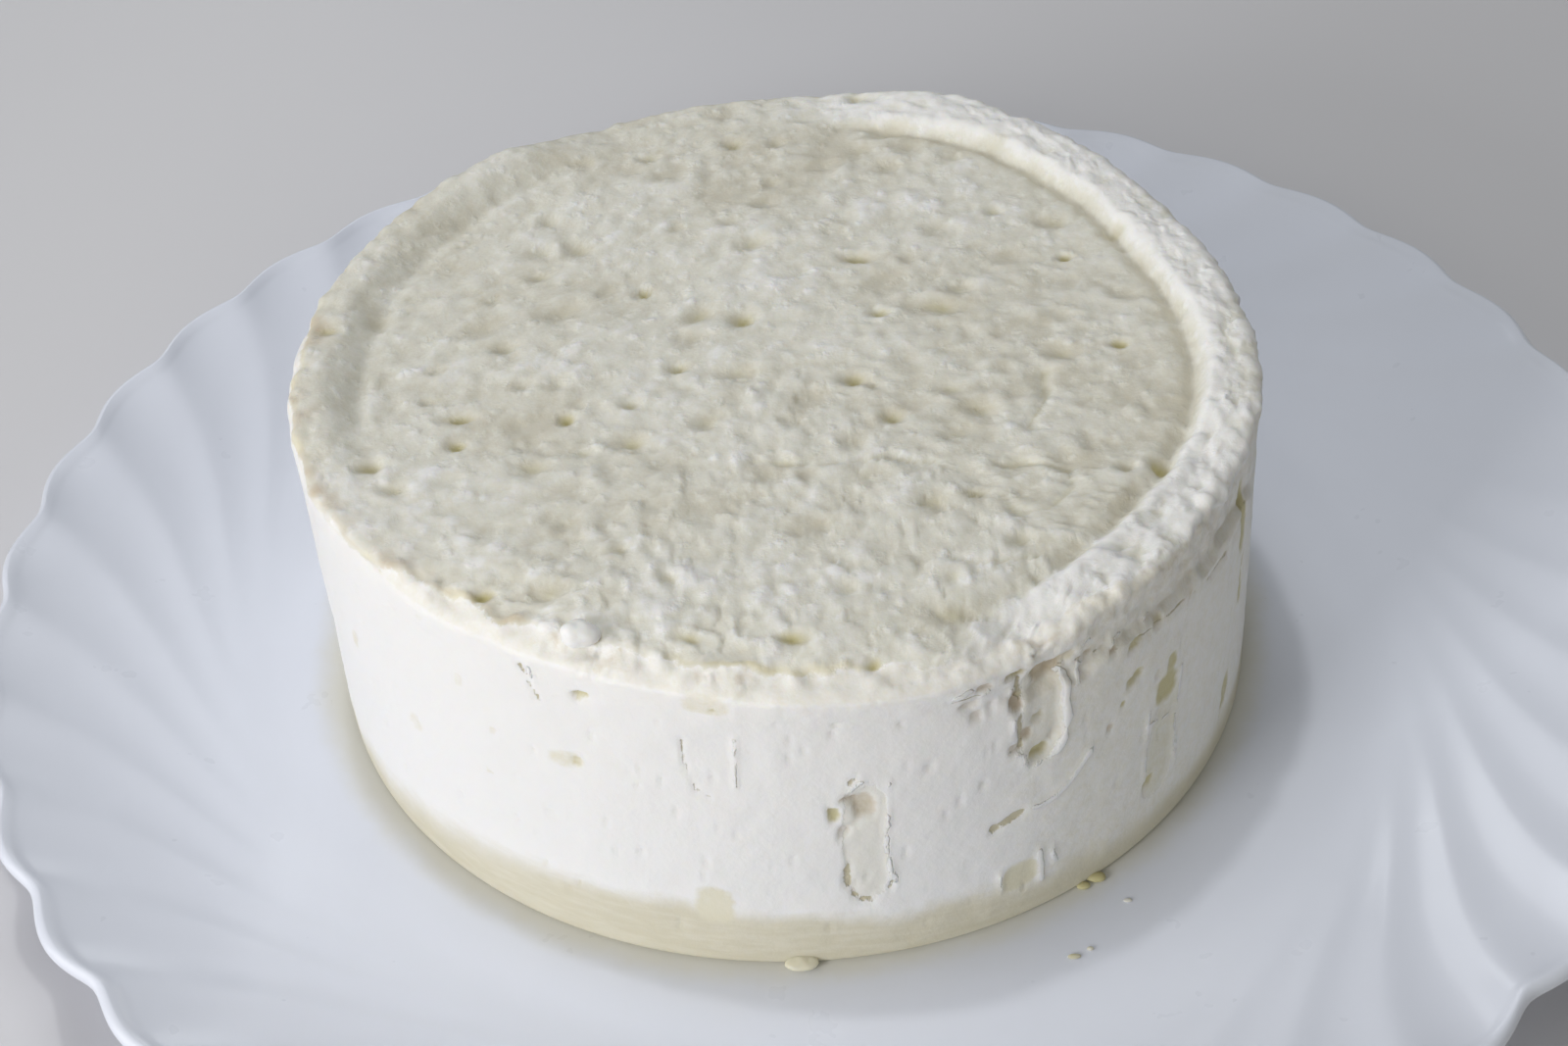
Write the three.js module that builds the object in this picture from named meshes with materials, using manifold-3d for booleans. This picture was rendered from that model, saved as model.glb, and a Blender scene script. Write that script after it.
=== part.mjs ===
// A semi-cured goat cheese on a white dinner plate with a swirled, scalloped rim.
// Millimetres, +Z up. The origin is the middle of the plate, on the table.
// Directions round the plate and the cheese are in degrees: 0 is +X, 90 is +Y, and -90 is the front.
import * as THREE from "three";
import Module from "manifold-3d";
import { mergeGeometries, mergeVertices } from "three/addons/utils/BufferGeometryUtils.js";

// Driving dimensions of the plate
const rimRadius = 124.3; // to the middle of the scallops
const wellRadius = 83; // the flat well ends and the slope begins
const wellLevel = 5; // top of the well above the table
const rimRise = 13.5; // top of the rim above the well
const slopePower = 1.2; // 1 is a straight slope, more is hollow
const plateWall = 3.4;
const lipWall = 2.6;
const footRadius = 74; // middle of the foot ring
const footWidth = 4.5;
const footTaper = 1.2; // how much wider the ring's root is on each side

// The swirled flutes: hollow channels, each ending in a scallop, with a crest between every two
const fluteCount = 38;
const fluteSamples = 4; // steps round one flute
const fluteDepth = 1.5; // from valley to crest, at its deepest
const fluteDeepest = 0.72; // where that is, from 0 at the well to 1 at the rim
const lipFluteShare = 0.45; // how much of the depth is left at the lip
const scallopDepth = 1.9; // from the notch to the scallop's tip
const firstScallop = 146.5; // direction of one scallop's tip
const swirlStart = 9.7; // degrees that a flute turns in going inwards, in proportion
const swirlHook = 35.4; // and by the cube, so that it hooks at its inner end
const swirlSpan = 43.5; // from the rim to the flutes' inner ends
const meshSwirlEnd = 31; // the mesh follows the flutes this far in from the rim

// Driving dimensions of the cheese
const cheeseRadius = 67.6;
const cheeseHeight = 52.6; // from its base to the top of the pressed ring
const cheeseMiddle = { x: -5.5, y: 1 }; // it stands a little off the plate's middle
const restingGap = 0.3;
const baseEdge = 1.4; // rounding of the bottom edge
const ringStep = 2.1; // the pressed disc lies this far under the ring
const ringInner = 59.6; // inner edge of the ring, at its top
const discRadius = 57.9; // where the disc meets the ring's inner wall
const discShift = { x: 0.9, y: -0.2 }; // the press plate was a little off the middle
const shells = 16; // square shells of the top's grid, which become its circles
const steps = shells * 8; // steps round the cheese

// Out-of-round outline of the cheese: waves round it, each with its height and the direction of a bulge
const topWaves = [
  { count: 1, height: 0.5, bulge: -54 },
  { count: 2, height: 1.0, bulge: -58 },
  { count: 3, height: 1.5, bulge: -52 },
  { count: 5, height: 0.5, bulge: -9 },
];
const baseWaves = [
  { count: 1, height: 0.4, bulge: -28 },
  { count: 2, height: 0.55, bulge: -70 },
];

// Places where the ring is pressed flat or crumbled away
const wornPlaces = [
  { at: 97, half: 14, fade: 18 },
  { at: -103, half: 30, fade: 16 },
];
// The right front shoulder, where the ring sags and the side leans in above a seam
const shoulder = { at: -48, half: 16, fade: 16, seam: 42, sag: 2.6, inset: 1.2 };
const frontSlump = { at: -103, half: 26, fade: 20, drop: 1.4, reach: 12 };

// Curd relief
const curdSize = 7.5;
const curdHeight = 0.8;
const fineCurdSize = 4.6;
const fineCurdHeight = 0.65;
const sideRelief = 0.25;
const sideLumpSize = 9;

// Pits that the press cloth left in the top, as [distance from the middle, direction]
const seenPits = [
  [46, 20], [48, -8], [16, -50], [25, -54], [6, 132], [22, 145], [48, -155], [33, -151], [46, -162],
  [16, 17], [20, 60], [30, 58], [42, 37], [27, 4], [58, -34], [51, 110], [49, 97], [63, 52],
  [60, -156], [27, -32], [15, -153], [38, 179], [42, 144], [23, -28],
];
const pitRadius = 1.5;
const pitDepth = 2.3;
const pitSides = 6;
const morePits = 16; // scattered between the seen ones
const pitSpacing = 9;

// Slots that the mould's wall left in the side, in columns with every second one raised
const slotColumns = 18;
const firstColumn = -84;
const slotWidth = 5.4;
const slotHeight = 19;
const lowSlotMiddle = 21;
const highSlotMiddle = 38;
const shownSlotDepth = 0.9;
const faintSlotDepth = 0.45;
const shownArc = { at: -65, half: 42 }; // where the slots are deep

const degree = Math.PI / 180;
const wasm = await Module();
wasm.setup();

// From 0 to 1 as x goes from low to high, with level ends.
function smooth(low, high, x) {
  return THREE.MathUtils.smoothstep(x, low, high);
}

// The turn from one direction to another, from -180 to 180.
function turn(from, to) {
  return ((((to - from) % 360) + 540) % 360) - 180;
}

// 1 inside an arc of the round, 0 away from it.
function arc(direction, { at, half, fade = 1 }) {
  return 1 - smooth(half, half + fade, Math.abs(turn(at, direction)));
}

// A repeatable draw from 0 to 1 for whole numbers i and j.
function draw(i, j) {
  const mixed = Math.sin(i * 127.1 + j * 311.7) * 43758.5453;
  return mixed - Math.floor(mixed);
}

// Smooth lumps from -1 to 1 over a plane, about one for each size.
function lumps(x, y, size) {
  const i = Math.floor(x / size);
  const j = Math.floor(y / size);
  const u = smooth(0, 1, x / size - i);
  const v = smooth(0, 1, y / size - j);
  const near = THREE.MathUtils.lerp(draw(i, j), draw(i + 1, j), u);
  const far = THREE.MathUtils.lerp(draw(i, j + 1), draw(i + 1, j + 1), u);
  return THREE.MathUtils.lerp(near, far, v) * 2 - 1;
}

// Moves every vertex of a geometry by a function from its index and place to its new place.
function reshape(geometry, place) {
  const position = geometry.getAttribute("position");
  const point = new THREE.Vector3();
  for (let i = 0; i < position.count; i++) {
    point.fromBufferAttribute(position, i);
    position.setXYZ(i, ...place(point, i));
  }
  return geometry;
}

// A profile of [radius, height] turned about +Z.
// place(direction, profileIndex) gives each vertex's [x, y, z].
function turned(profile, segments, place) {
  const points = profile.map(([radius, height]) => new THREE.Vector2(radius, height));
  const lathe = new THREE.LatheGeometry(points, segments);
  return reshape(lathe, (_, i) => {
    const step = Math.floor(i / profile.length) % segments;
    return place((step * 360) / segments, i % profile.length);
  });
}

function polar(radius, direction, height) {
  return [radius * Math.cos(direction * degree), radius * Math.sin(direction * degree), height];
}

// Joins geometries along their shared vertices into one closed geometry.
function closed(geometries) {
  const bare = geometries.map((geometry) => {
    const plain = geometry.index ? geometry.toNonIndexed() : geometry.clone();
    plain.deleteAttribute("normal");
    plain.deleteAttribute("uv");
    return plain;
  });
  return mergeVertices(mergeGeometries(bare), 1e-3);
}

function toSolid(geometry) {
  return new wasm.Manifold(
    new wasm.Mesh({
      numProp: 3,
      vertProperties: geometry.getAttribute("position").array,
      triVerts: new Uint32Array(geometry.index.array),
    }),
  );
}

function toGeometry(solid) {
  const { vertProperties, triVerts } = solid.getMesh();
  const geometry = new THREE.BufferGeometry();
  geometry.setAttribute("position", new THREE.BufferAttribute(vertProperties, 3));
  geometry.setIndex(new THREE.BufferAttribute(triVerts, 1));
  geometry.computeVertexNormals();
  return geometry;
}

// The plate

// Height of the upper surface without its flutes.
function dishHeight(radius) {
  const up = THREE.MathUtils.clamp((radius - wellRadius) / (rimRadius - wellRadius), 0, 1);
  return wellLevel + rimRise * up ** slopePower;
}

// How far a flute has turned at a radius, in degrees.
function swirl(radius) {
  const inwards = THREE.MathUtils.clamp((rimRadius - radius) / swirlSpan, 0, 1);
  return swirlStart * inwards + swirlHook * inwards ** 3;
}

// 0 in a flute's valley and 1 on the crest between two flutes.
function crest(radius, direction) {
  const flutes = ((direction - firstScallop - swirl(radius)) * fluteCount) / 360;
  return 1 - Math.abs(Math.cos(Math.PI * flutes));
}

// Height of the crests above the valleys at a radius.
function fluteHeight(radius) {
  const up = (radius - wellRadius) / (rimRadius - wellRadius);
  const fadeIn = smooth(0, fluteDeepest, up);
  const fadeOut = 1 - (1 - lipFluteShare) * smooth(fluteDeepest, 1, up);
  return fluteDepth * fadeIn * fadeOut;
}

function platePlace(radius, height, direction) {
  const swirled = direction + firstScallop + swirl(Math.max(radius, rimRadius - meshSwirlEnd));
  const raised = crest(radius, swirled);
  const scallop = (0.5 - raised) * scallopDepth * smooth(rimRadius - 12, rimRadius, radius);
  return polar(radius + scallop, swirled, height + fluteHeight(radius) * (raised - 0.5));
}

function plateGeometry() {
  const underWell = wellLevel - plateWall;
  const footInner = footRadius - footWidth / 2;
  const footOuter = footRadius + footWidth / 2;
  const under = [88, 103, 117].map((radius) => [radius, dishHeight(radius) - plateWall]);
  const upper = [121, 115, 108, 101, 94, 88].map((radius) => [radius, dishHeight(radius)]);
  const rimTop = dishHeight(rimRadius);
  const profile = [
    [0, underWell],
    [footInner - footTaper, underWell],
    [footInner, 0],
    [footOuter, 0],
    [footOuter + footTaper, underWell],
    ...under,
    [rimRadius - 0.8, rimTop - lipWall],
    [rimRadius, rimTop - lipWall * 0.55],
    [rimRadius - 0.7, rimTop - 0.1],
    ...upper,
    [wellRadius, wellLevel],
    [0, wellLevel],
  ];
  const place = (direction, i) => platePlace(profile[i][0], profile[i][1], direction);
  return closed([turned(profile, fluteCount * fluteSamples, place)]);
}

// The cheese, about its own middle and base

function waves(list, direction) {
  const height = ({ count, height, bulge }) => height * Math.cos(count * (direction - bulge) * degree);
  return list.reduce((sum, wave) => sum + height(wave), 0);
}

// Out-of-round of the side at a height, in millimetres.
function outOfRound(direction, height) {
  const up = THREE.MathUtils.clamp(height / cheeseHeight, 0, 1);
  return THREE.MathUtils.lerp(waves(baseWaves, direction), waves(topWaves, direction), up);
}

// 1 where the ring is whole, 0 where it is pressed flat or crumbled away.
function ringWhole(direction) {
  return wornPlaces.reduce((whole, place) => whole * (1 - arc(direction, place)), 1);
}

function curd(x, y) {
  return curdHeight * lumps(x, y, curdSize) + fineCurdHeight * lumps(x + 500, y, fineCurdSize);
}

// How far the top sags at a place.
function sag(radius, direction) {
  const slumpReach = smooth(cheeseRadius - frontSlump.reach, cheeseRadius, radius);
  const shoulderReach = smooth(ringInner - 6, ringInner + 2, radius);
  return (
    frontSlump.drop * arc(direction, frontSlump) * slumpReach +
    shoulder.sag * arc(direction, shoulder) * shoulderReach
  );
}

// A point of the side or the ring: radius and height are those of the profile.
function sidePlace(radius, height, direction) {
  const leaning = arc(direction, shoulder);
  const aboveSeam = smooth(shoulder.seam - 0.5, shoulder.seam + 1.5, height);
  const onTop = smooth(cheeseHeight - 2, cheeseHeight, height);
  const worn = ringStep * onTop * (1 - ringWhole(direction));
  const [x, y] = polar(radius, direction, 0);
  const rough = sideRelief * lumps(x + height, y - height, sideLumpSize) * smooth(0, 6, height);
  const out = outOfRound(direction, height) - shoulder.inset * leaning * aboveSeam + rough;
  const lowered = sag(radius, direction) * smooth(shoulder.seam, cheeseHeight, height);
  const outwards = Math.min(radius / (cheeseRadius - baseEdge), 1);
  return polar(radius + out * outwards, direction, height - worn - lowered);
}

// Radii of the top's circles, from the middle out: the disc, the ring's wall, the ring and the edge.
function topCircles() {
  const discShells = shells - 3;
  const disc = Array.from({ length: discShells + 1 }, (_, k) => (discRadius * k) / discShells);
  return [...disc, ringInner, 63, edgeProfile.at(-1)[0]];
}

// From the bottom edge up to the top's outermost circle.
const edgeProfile = [
  [cheeseRadius - baseEdge, 0],
  [cheeseRadius + 0.4, baseEdge],
  [cheeseRadius + 0.4, 14],
  [cheeseRadius + 0.2, 28],
  [cheeseRadius, shoulder.seam - 0.5],
  [cheeseRadius, shoulder.seam + 1.5],
  [cheeseRadius - 0.3, cheeseHeight - 3],
  [cheeseRadius - 1.4, cheeseHeight - 0.8],
];

function topPlace(radius, direction) {
  const whole = ringWhole(direction);
  const [x, y] = polar(radius, direction, 0);
  const onRing = smooth(discRadius, ringInner, radius);
  const atEdge = smooth(ringInner, edgeProfile.at(-1)[0], radius);
  const shift = Math.min(radius / discRadius, 1) * (1 - atEdge);
  const out = outOfRound(direction, cheeseHeight) * smooth(0, cheeseRadius, radius);
  const level = cheeseHeight - ringStep + ringStep * whole * onRing;
  const bumps = curd(x, y) * (1 - atEdge * 0.6);
  const place = polar(radius + out, direction, level + bumps - sag(radius, direction));
  return [place[0] + discShift.x * shift, place[1] + discShift.y * shift, place[2]];
}

// A square grid mapped to a disc: each square shell becomes one of the top's circles.
function topGeometry() {
  const circles = topCircles();
  const grid = new THREE.PlaneGeometry(2, 2, shells * 2, shells * 2);
  return reshape(grid, ({ x, y }) => {
    const shell = Math.round(Math.max(Math.abs(x), Math.abs(y)) * shells);
    if (shell === 0) return topPlace(0, 0);
    const upright = Math.abs(y) > Math.abs(x) + 1e-6;
    const along = upright ? 90 - (45 * x) / y : (45 * y) / x;
    const direction = along + ((upright ? y : x) < 0 ? 180 : 0);
    if (shell === shells) return sidePlace(...edgeProfile.at(-1), direction);
    return topPlace(circles[shell], direction);
  });
}

function sideGeometry() {
  const profile = [[0, 0], ...edgeProfile];
  return turned(profile, steps, (direction, i) => sidePlace(...profile[i], direction));
}

// A blunt pit with its mouth above the top.
function pit(x, y, radius) {
  const mouth = cheeseHeight + 3;
  const floor = cheeseHeight - ringStep - pitDepth;
  const profile = [[0, floor], [radius * 0.4, floor], [radius * 1.3, mouth], [0, mouth]];
  return turned(profile, pitSides, (direction, i) => {
    const [px, py, pz] = polar(profile[i][0], direction, profile[i][1]);
    return [x + px, y + py, pz];
  });
}

function seenPitPlaces() {
  return seenPits.map(([radius, direction]) => polar(radius, direction, 0).slice(0, 2));
}

// More pits at drawn places that keep clear of the others.
function pitPlaces() {
  const places = seenPitPlaces();
  const wanted = places.length + morePits;
  for (let i = 0; places.length < wanted && i < 2000; i++) {
    const radius = (discRadius - 4) * Math.sqrt(draw(i, 5));
    const [x, y] = polar(radius, 360 * draw(i, 9), 0);
    if (places.every(([px, py]) => Math.hypot(px - x, py - y) > pitSpacing)) places.push([x, y]);
  }
  return places;
}

// A shallow round-ended slot in the side, cut from outside.
function slot(direction, middle, depth) {
  const half = slotWidth / 2;
  const straight = slotHeight / 2 - half;
  const outline = new THREE.Shape();
  outline.absarc(0, straight, half, 0, Math.PI);
  outline.absarc(0, -straight, half, Math.PI, 2 * Math.PI);
  const outwards = 8;
  const cutter = new THREE.ExtrudeGeometry(outline, {
    depth: depth + outwards,
    bevelEnabled: false,
    curveSegments: 3,
  });
  const floorRadius = cheeseRadius + 0.2 + outOfRound(direction, middle) - depth;
  const turning = new THREE.Matrix4().makeRotationZ((direction - 90) * degree);
  cutter.applyMatrix4(new THREE.Matrix4().makeRotationX(-90 * degree));
  cutter.translate(0, floorRadius, middle);
  return cutter.applyMatrix4(turning);
}

function slots() {
  return Array.from({ length: slotColumns }, (_, k) => {
    const direction = firstColumn + (k * 360) / slotColumns;
    const middle = k % 2 ? highSlotMiddle : lowSlotMiddle;
    const shown = Math.abs(turn(shownArc.at, direction)) < shownArc.half;
    return slot(direction, middle, shown ? shownSlotDepth : faintSlotDepth);
  });
}

function cheeseGeometry() {
  const pits = pitPlaces().map(([x, y], i) => pit(x, y, pitRadius * (0.75 + 0.5 * draw(i, 3))));
  const cutters = [...pits, ...slots()];
  const whole = toSolid(closed([topGeometry(), sideGeometry()]));
  return toGeometry(cutters.reduce((left, cutter) => left.subtract(toSolid(closed([cutter]))), whole));
}

const glaze = new THREE.MeshStandardMaterial({ color: 0xe6e9ee, roughness: 0.15, metalness: 0 });
const curdWhite = new THREE.MeshStandardMaterial({ color: 0xe9e6da, roughness: 0.75, metalness: 0 });

const plate = new THREE.Mesh(plateGeometry(), glaze);
plate.name = "plate";

const cheese = new THREE.Mesh(cheeseGeometry(), curdWhite);
cheese.name = "cheese";
cheese.position.set(cheeseMiddle.x, cheeseMiddle.y, wellLevel + restingGap);

const cheeseOnPlate = new THREE.Group();
cheeseOnPlate.add(plate, cheese);

export default cheeseOnPlate;
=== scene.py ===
import math

import bmesh
import bpy
import numpy as np
from mathutils import Matrix, Vector


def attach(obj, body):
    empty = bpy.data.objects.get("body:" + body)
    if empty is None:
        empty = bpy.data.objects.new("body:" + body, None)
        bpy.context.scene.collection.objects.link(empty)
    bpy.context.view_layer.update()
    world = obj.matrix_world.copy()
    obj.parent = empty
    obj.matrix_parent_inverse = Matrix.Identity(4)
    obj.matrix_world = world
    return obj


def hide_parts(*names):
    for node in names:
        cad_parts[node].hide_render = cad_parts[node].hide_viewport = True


# Lengths in the settings are millimetres, and directions are degrees: 0 is +X, 90 is +Y and -90 is the front.
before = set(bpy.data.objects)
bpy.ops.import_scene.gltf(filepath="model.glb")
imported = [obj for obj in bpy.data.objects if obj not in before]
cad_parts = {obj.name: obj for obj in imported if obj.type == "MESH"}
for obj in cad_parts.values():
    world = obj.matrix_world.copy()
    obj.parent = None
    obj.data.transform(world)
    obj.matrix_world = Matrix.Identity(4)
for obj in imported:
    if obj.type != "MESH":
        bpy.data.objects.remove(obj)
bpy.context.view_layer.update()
metre = 0.001


# From 0 to 1 as x goes from low to high, with level ends.
def smooth(low, high, x):
    t = np.clip((x - low) / (high - low), 0, 1)
    return t * t * (3 - 2 * t)


# 1 where x is 0, falling away to both sides over a width.
def hill(x, width):
    return np.exp(-((x / width) ** 2))


# The turn from one direction to another, from -180 to 180.
def turn(start, end):
    return (end - start + 180) % 360 - 180


# 1 inside an arc of the round, 0 away from it.
def arc(direction, place):
    return 1 - smooth(place["half"], place["half"] + place["fade"], np.abs(turn(place["at"], direction)))


# Large odd numbers and shifts that mix a cell's place and a seed into a draw of 32 bits, and the draw's steps
drawMixers = {
    "cell": (374761393, 668265263, 1442695041),
    "seed": 974634777,
    "last": 1274126177,
    "firstShift": 13,
    "lastShift": 16,
}
word = 0xFFFFFFFF
drawSteps = 0xFFFFFF


# Repeatable draws from 0 to 1, one for each whole-numbered cell.
def drawFor(cells, seed):
    mixed = cells @ np.array(drawMixers["cell"]) + seed * drawMixers["seed"]
    mixed = (mixed ^ (mixed >> drawMixers["firstShift"])) & word
    mixed = (mixed * drawMixers["last"]) & word
    mixed = mixed ^ (mixed >> drawMixers["lastShift"])
    return (mixed & drawSteps) / drawSteps


# Smooth lumps from -1 to 1, about one for each size.
def lumps(points, size, seed):
    scaled = points / size
    cell = np.floor(scaled).astype(np.int64)
    part = scaled - cell
    part = part * part * (3 - 2 * part)
    total = np.zeros(len(points))
    for corner in np.ndindex(2, 2, 2):
        weight = np.prod(np.where(corner, part, 1 - part), axis=1)
        total += weight * drawFor(cell + np.array(corner), seed)
    return total * 2 - 1


# Lumps of several sizes together, in rows of height, size and seed.
def manyLumps(points, rows):
    return sum(height * lumps(points, size, seed) for height, size, seed in rows)


knobForm = {"reach": 0.72, "lowest": 0.35}


# Rounded knobs from 0 to 1 that stand close together, about one for each size.
def knobs(points, size, seed):
    scaled = points / size
    cell = np.floor(scaled).astype(np.int64)
    best = np.zeros(len(points))
    for offset in np.ndindex(3, 3, 3):
        other = cell + np.array(offset) - 1
        middle = other + np.stack([drawFor(other, seed + axis) for axis in range(3)], axis=1)
        away = np.sum((scaled - middle) ** 2, axis=1)
        rise = knobForm["lowest"] + (1 - knobForm["lowest"]) * drawFor(other, seed + 3)
        best = np.maximum(best, np.maximum(1 - away / knobForm["reach"], 0) * rise)
    return best


farAway = 99.0
flakeTilt = 1.2


# Flat flakes at their own levels and tilts, mostly from 0 to 1, about one for each size.
def flakes(points, size, seed):
    scaled = points / size
    cell = np.floor(scaled).astype(np.int64)
    nearest = np.full(len(points), farAway)
    level = np.zeros(len(points))
    for offset in np.ndindex(3, 3, 3):
        other = cell + np.array(offset) - 1
        draws = [drawFor(other, seed + number) for number in range(6)]
        apart = scaled - other - np.stack(draws[:3], axis=1)
        away = np.sum(apart**2, axis=1)
        tilted = draws[3] + flakeTilt * (apart[:, 0] * (draws[4] - 0.5) + apart[:, 1] * (draws[5] - 0.5))
        level = np.where(away < nearest, tilted, level)
        nearest = np.minimum(nearest, away)
    return level


def readPlaces(mesh):
    flat = np.zeros(len(mesh.vertices) * 3)
    mesh.vertices.foreach_get("co", flat)
    return flat.reshape(-1, 3)


def writePlaces(mesh, places):
    mesh.vertices.foreach_set("co", (places * metre).ravel())
    mesh.update()


# Gives a mesh the values that its material reads.
def writeFields(mesh, fields):
    for name, values in fields.items():
        layer = mesh.attributes.new(name, "FLOAT", "POINT")
        layer.data.foreach_set("value", np.broadcast_to(values, len(mesh.vertices)).astype(np.float32))


# Makes a finished piece of a bmesh, which it frees.
def pieceFrom(bm, name):
    mesh = bpy.data.meshes.new(name)
    bmesh.ops.recalc_face_normals(bm, faces=bm.faces)
    bm.to_mesh(mesh)
    bm.free()
    mesh.shade_smooth()
    piece = bpy.data.objects.new(name, mesh)
    bpy.context.scene.collection.objects.link(piece)
    return piece


# The camera stands where the photograph was taken from.
cameraSetup = {
    "lens": 60.75,
    "sensor": 36,
    "elevation": 40.573,
    "distance": 393.3,
    "roll": -3.519,
    "aim": (-5.575, 1.0, 23.455),
    "clipStart": 0.01,
}


def makeCamera():
    elevation = math.radians(cameraSetup["elevation"])
    data = bpy.data.cameras.new("camera")
    data.lens = cameraSetup["lens"]
    data.sensor_width = cameraSetup["sensor"]
    data.clip_start = cameraSetup["clipStart"]
    back = Vector((0, -math.cos(elevation), math.sin(elevation)))
    place = (Vector(cameraSetup["aim"]) + back * cameraSetup["distance"]) * metre
    rolled = Matrix.Rotation(math.radians(cameraSetup["roll"]), 4, "Z")
    turned = Matrix.Rotation(math.pi / 2 - elevation, 4, "X") @ rolled
    camera = bpy.data.objects.new("camera", data)
    camera.matrix_world = Matrix.Translation(place) @ turned
    bpy.context.scene.collection.objects.link(camera)
    bpy.context.scene.camera = camera
    print("camera placed")


makeCamera()

# The plate: white opal glass with swirled flutes that end in scallops
plateShape = {
    "rimRadius": 124.3,
    "wellRadius": 83,
    "wellLevel": 5,
    "rimRise": 13.5,
    "slopePower": 1.2,
    "wall": 3.4,
    "lipWall": 2.6,
    "footRadius": 74,
    "footWidth": 4.5,
    "footTaper": 1.2,
    "flutes": 38,
    "fluteSteps": 16,
    "fluteDepth": 0.44,
    "fluteDeepest": 0.72,
    "lipFluteShare": 0.45,
    "crestSoftness": 0.36,
    "scallopDepth": 1.9,
    "scallopReach": 12,
    "firstScallop": 146.5,
    "swirlStart": 9.7,
    "swirlHook": 35.4,
    "swirlSpan": 43.5,
    "meshSwirlEnd": 31,
}

# Radii of the plate's rows of faces. The back and the rim have a start, an end and a step, and the lip has
# the first and last angle round it and their number.
plateRings = {
    "underWell": (0, 15, 30, 45, 58, 66),
    "back": (79, 121.5, 1.4),
    "lip": (-80, 90, 11),
    "rim": (122, 84, -0.95),
    "well": (83, 81, 78, 74, 68, 60, 48, 34, 18, 0),
}
mergeWithin = 0.001

# The foot ring's section is round where it stands: steps outwards and heights
footForm = {"beforeFoot": 0.8, "below": 0.15, "corner": 0.5, "cornerHeight": 0.12}


def dishHeight(radius):
    p = plateShape
    up = np.clip((radius - p["wellRadius"]) / (p["rimRadius"] - p["wellRadius"]), 0, 1)
    return p["wellLevel"] + p["rimRise"] * up ** p["slopePower"]


# How far a flute has turned at a radius, in degrees.
def swirl(radius):
    p = plateShape
    inwards = np.clip((p["rimRadius"] - radius) / p["swirlSpan"], 0, 1)
    return p["swirlStart"] * inwards + p["swirlHook"] * inwards**3


# 0 in a flute's valley and 1 on the soft crest between two flutes.
def crest(radius, direction):
    p = plateShape
    flutes = (direction - p["firstScallop"] - swirl(radius)) * p["flutes"] / 360
    soft = p["crestSoftness"]
    full = math.sqrt(1 + soft**2)
    return (full - np.sqrt(np.cos(np.pi * flutes) ** 2 + soft**2)) / (full - soft)


def fluteHeight(radius):
    p = plateShape
    up = (radius - p["wellRadius"]) / (p["rimRadius"] - p["wellRadius"])
    fadeOut = 1 - (1 - p["lipFluteShare"]) * smooth(p["fluteDeepest"], 1, up)
    return p["fluteDepth"] * smooth(0, p["fluteDeepest"], up) * fadeOut


# Half of the foot ring's section, from its middle to the well's underside, as steps from its edge and heights
def footSide():
    f = footForm
    underWell = plateShape["wellLevel"] - plateShape["wall"]
    corners = [(-f["corner"], 0), (0, f["cornerHeight"]), (f["corner"], f["corner"])]
    return corners + [(plateShape["footTaper"], underWell - f["below"])]


# Radius and height along the plate's section, from the middle of its underside out to the lip and back on top
def plateProfile():
    p = plateShape
    r = plateRings
    underWell = p["wellLevel"] - p["wall"]
    inner = p["footRadius"] - p["footWidth"] / 2
    outer = p["footRadius"] + p["footWidth"] / 2
    rimTop = float(dishHeight(p["rimRadius"]))
    footStart = inner - p["footTaper"] - footForm["beforeFoot"]
    section = [(radius, underWell) for radius in (*r["underWell"], footStart)]
    section += [(inner - step, height) for step, height in reversed(footSide())]
    section += [(outer + step, height) for step, height in footSide()]
    section += [(radius, float(dishHeight(radius)) - p["wall"]) for radius in np.arange(*r["back"])]
    lip = p["lipWall"] / 2
    middle = p["rimRadius"] - lip
    for angle in np.radians(np.linspace(*r["lip"])):
        section.append((middle + lip * math.cos(angle), rimTop - lip + lip * math.sin(angle)))
    section += [(radius, float(dishHeight(radius))) for radius in np.arange(*r["rim"])]
    section += [(radius, p["wellLevel"]) for radius in r["well"]]
    return section


def makePlate():
    p = plateShape
    bm = bmesh.new()
    section = [bm.verts.new((radius, 0, height)) for radius, height in plateProfile()]
    edges = [bm.edges.new(pair) for pair in zip(section, section[1:])]
    oneFlute = 2 * math.pi / p["flutes"]
    bmesh.ops.spin(
        bm, geom=section + edges, cent=(0, 0, 0), axis=(0, 0, 1), angle=oneFlute, steps=p["fluteSteps"]
    )
    wedge = bm.verts[:] + bm.edges[:] + bm.faces[:]
    for count in range(1, p["flutes"]):
        copied = bmesh.ops.duplicate(bm, geom=wedge)["geom"]
        verts = [item for item in copied if isinstance(item, bmesh.types.BMVert)]
        bmesh.ops.rotate(bm, verts=verts, cent=(0, 0, 0), matrix=Matrix.Rotation(count * oneFlute, 3, "Z"))
    bmesh.ops.remove_doubles(bm, verts=bm.verts, dist=mergeWithin)
    plate = pieceFrom(bm, "swirledPlate")
    places = readPlaces(plate.data)
    radius = np.hypot(places[:, 0], places[:, 1])
    direction = np.degrees(np.arctan2(places[:, 1], places[:, 0])) + p["firstScallop"]
    direction += swirl(np.maximum(radius, p["rimRadius"] - p["meshSwirlEnd"]))
    raised = crest(radius, direction)
    nearRim = smooth(p["rimRadius"] - p["scallopReach"], p["rimRadius"], radius)
    moved = radius + (0.5 - raised) * p["scallopDepth"] * nearRim
    height = places[:, 2] + fluteHeight(radius) * (raised - 0.5)
    angle = np.radians(direction)
    writePlaces(plate.data, np.stack([moved * np.cos(angle), moved * np.sin(angle), height], axis=1))
    print("plate spun:", len(plate.data.polygons), "faces")
    return plate


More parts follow.
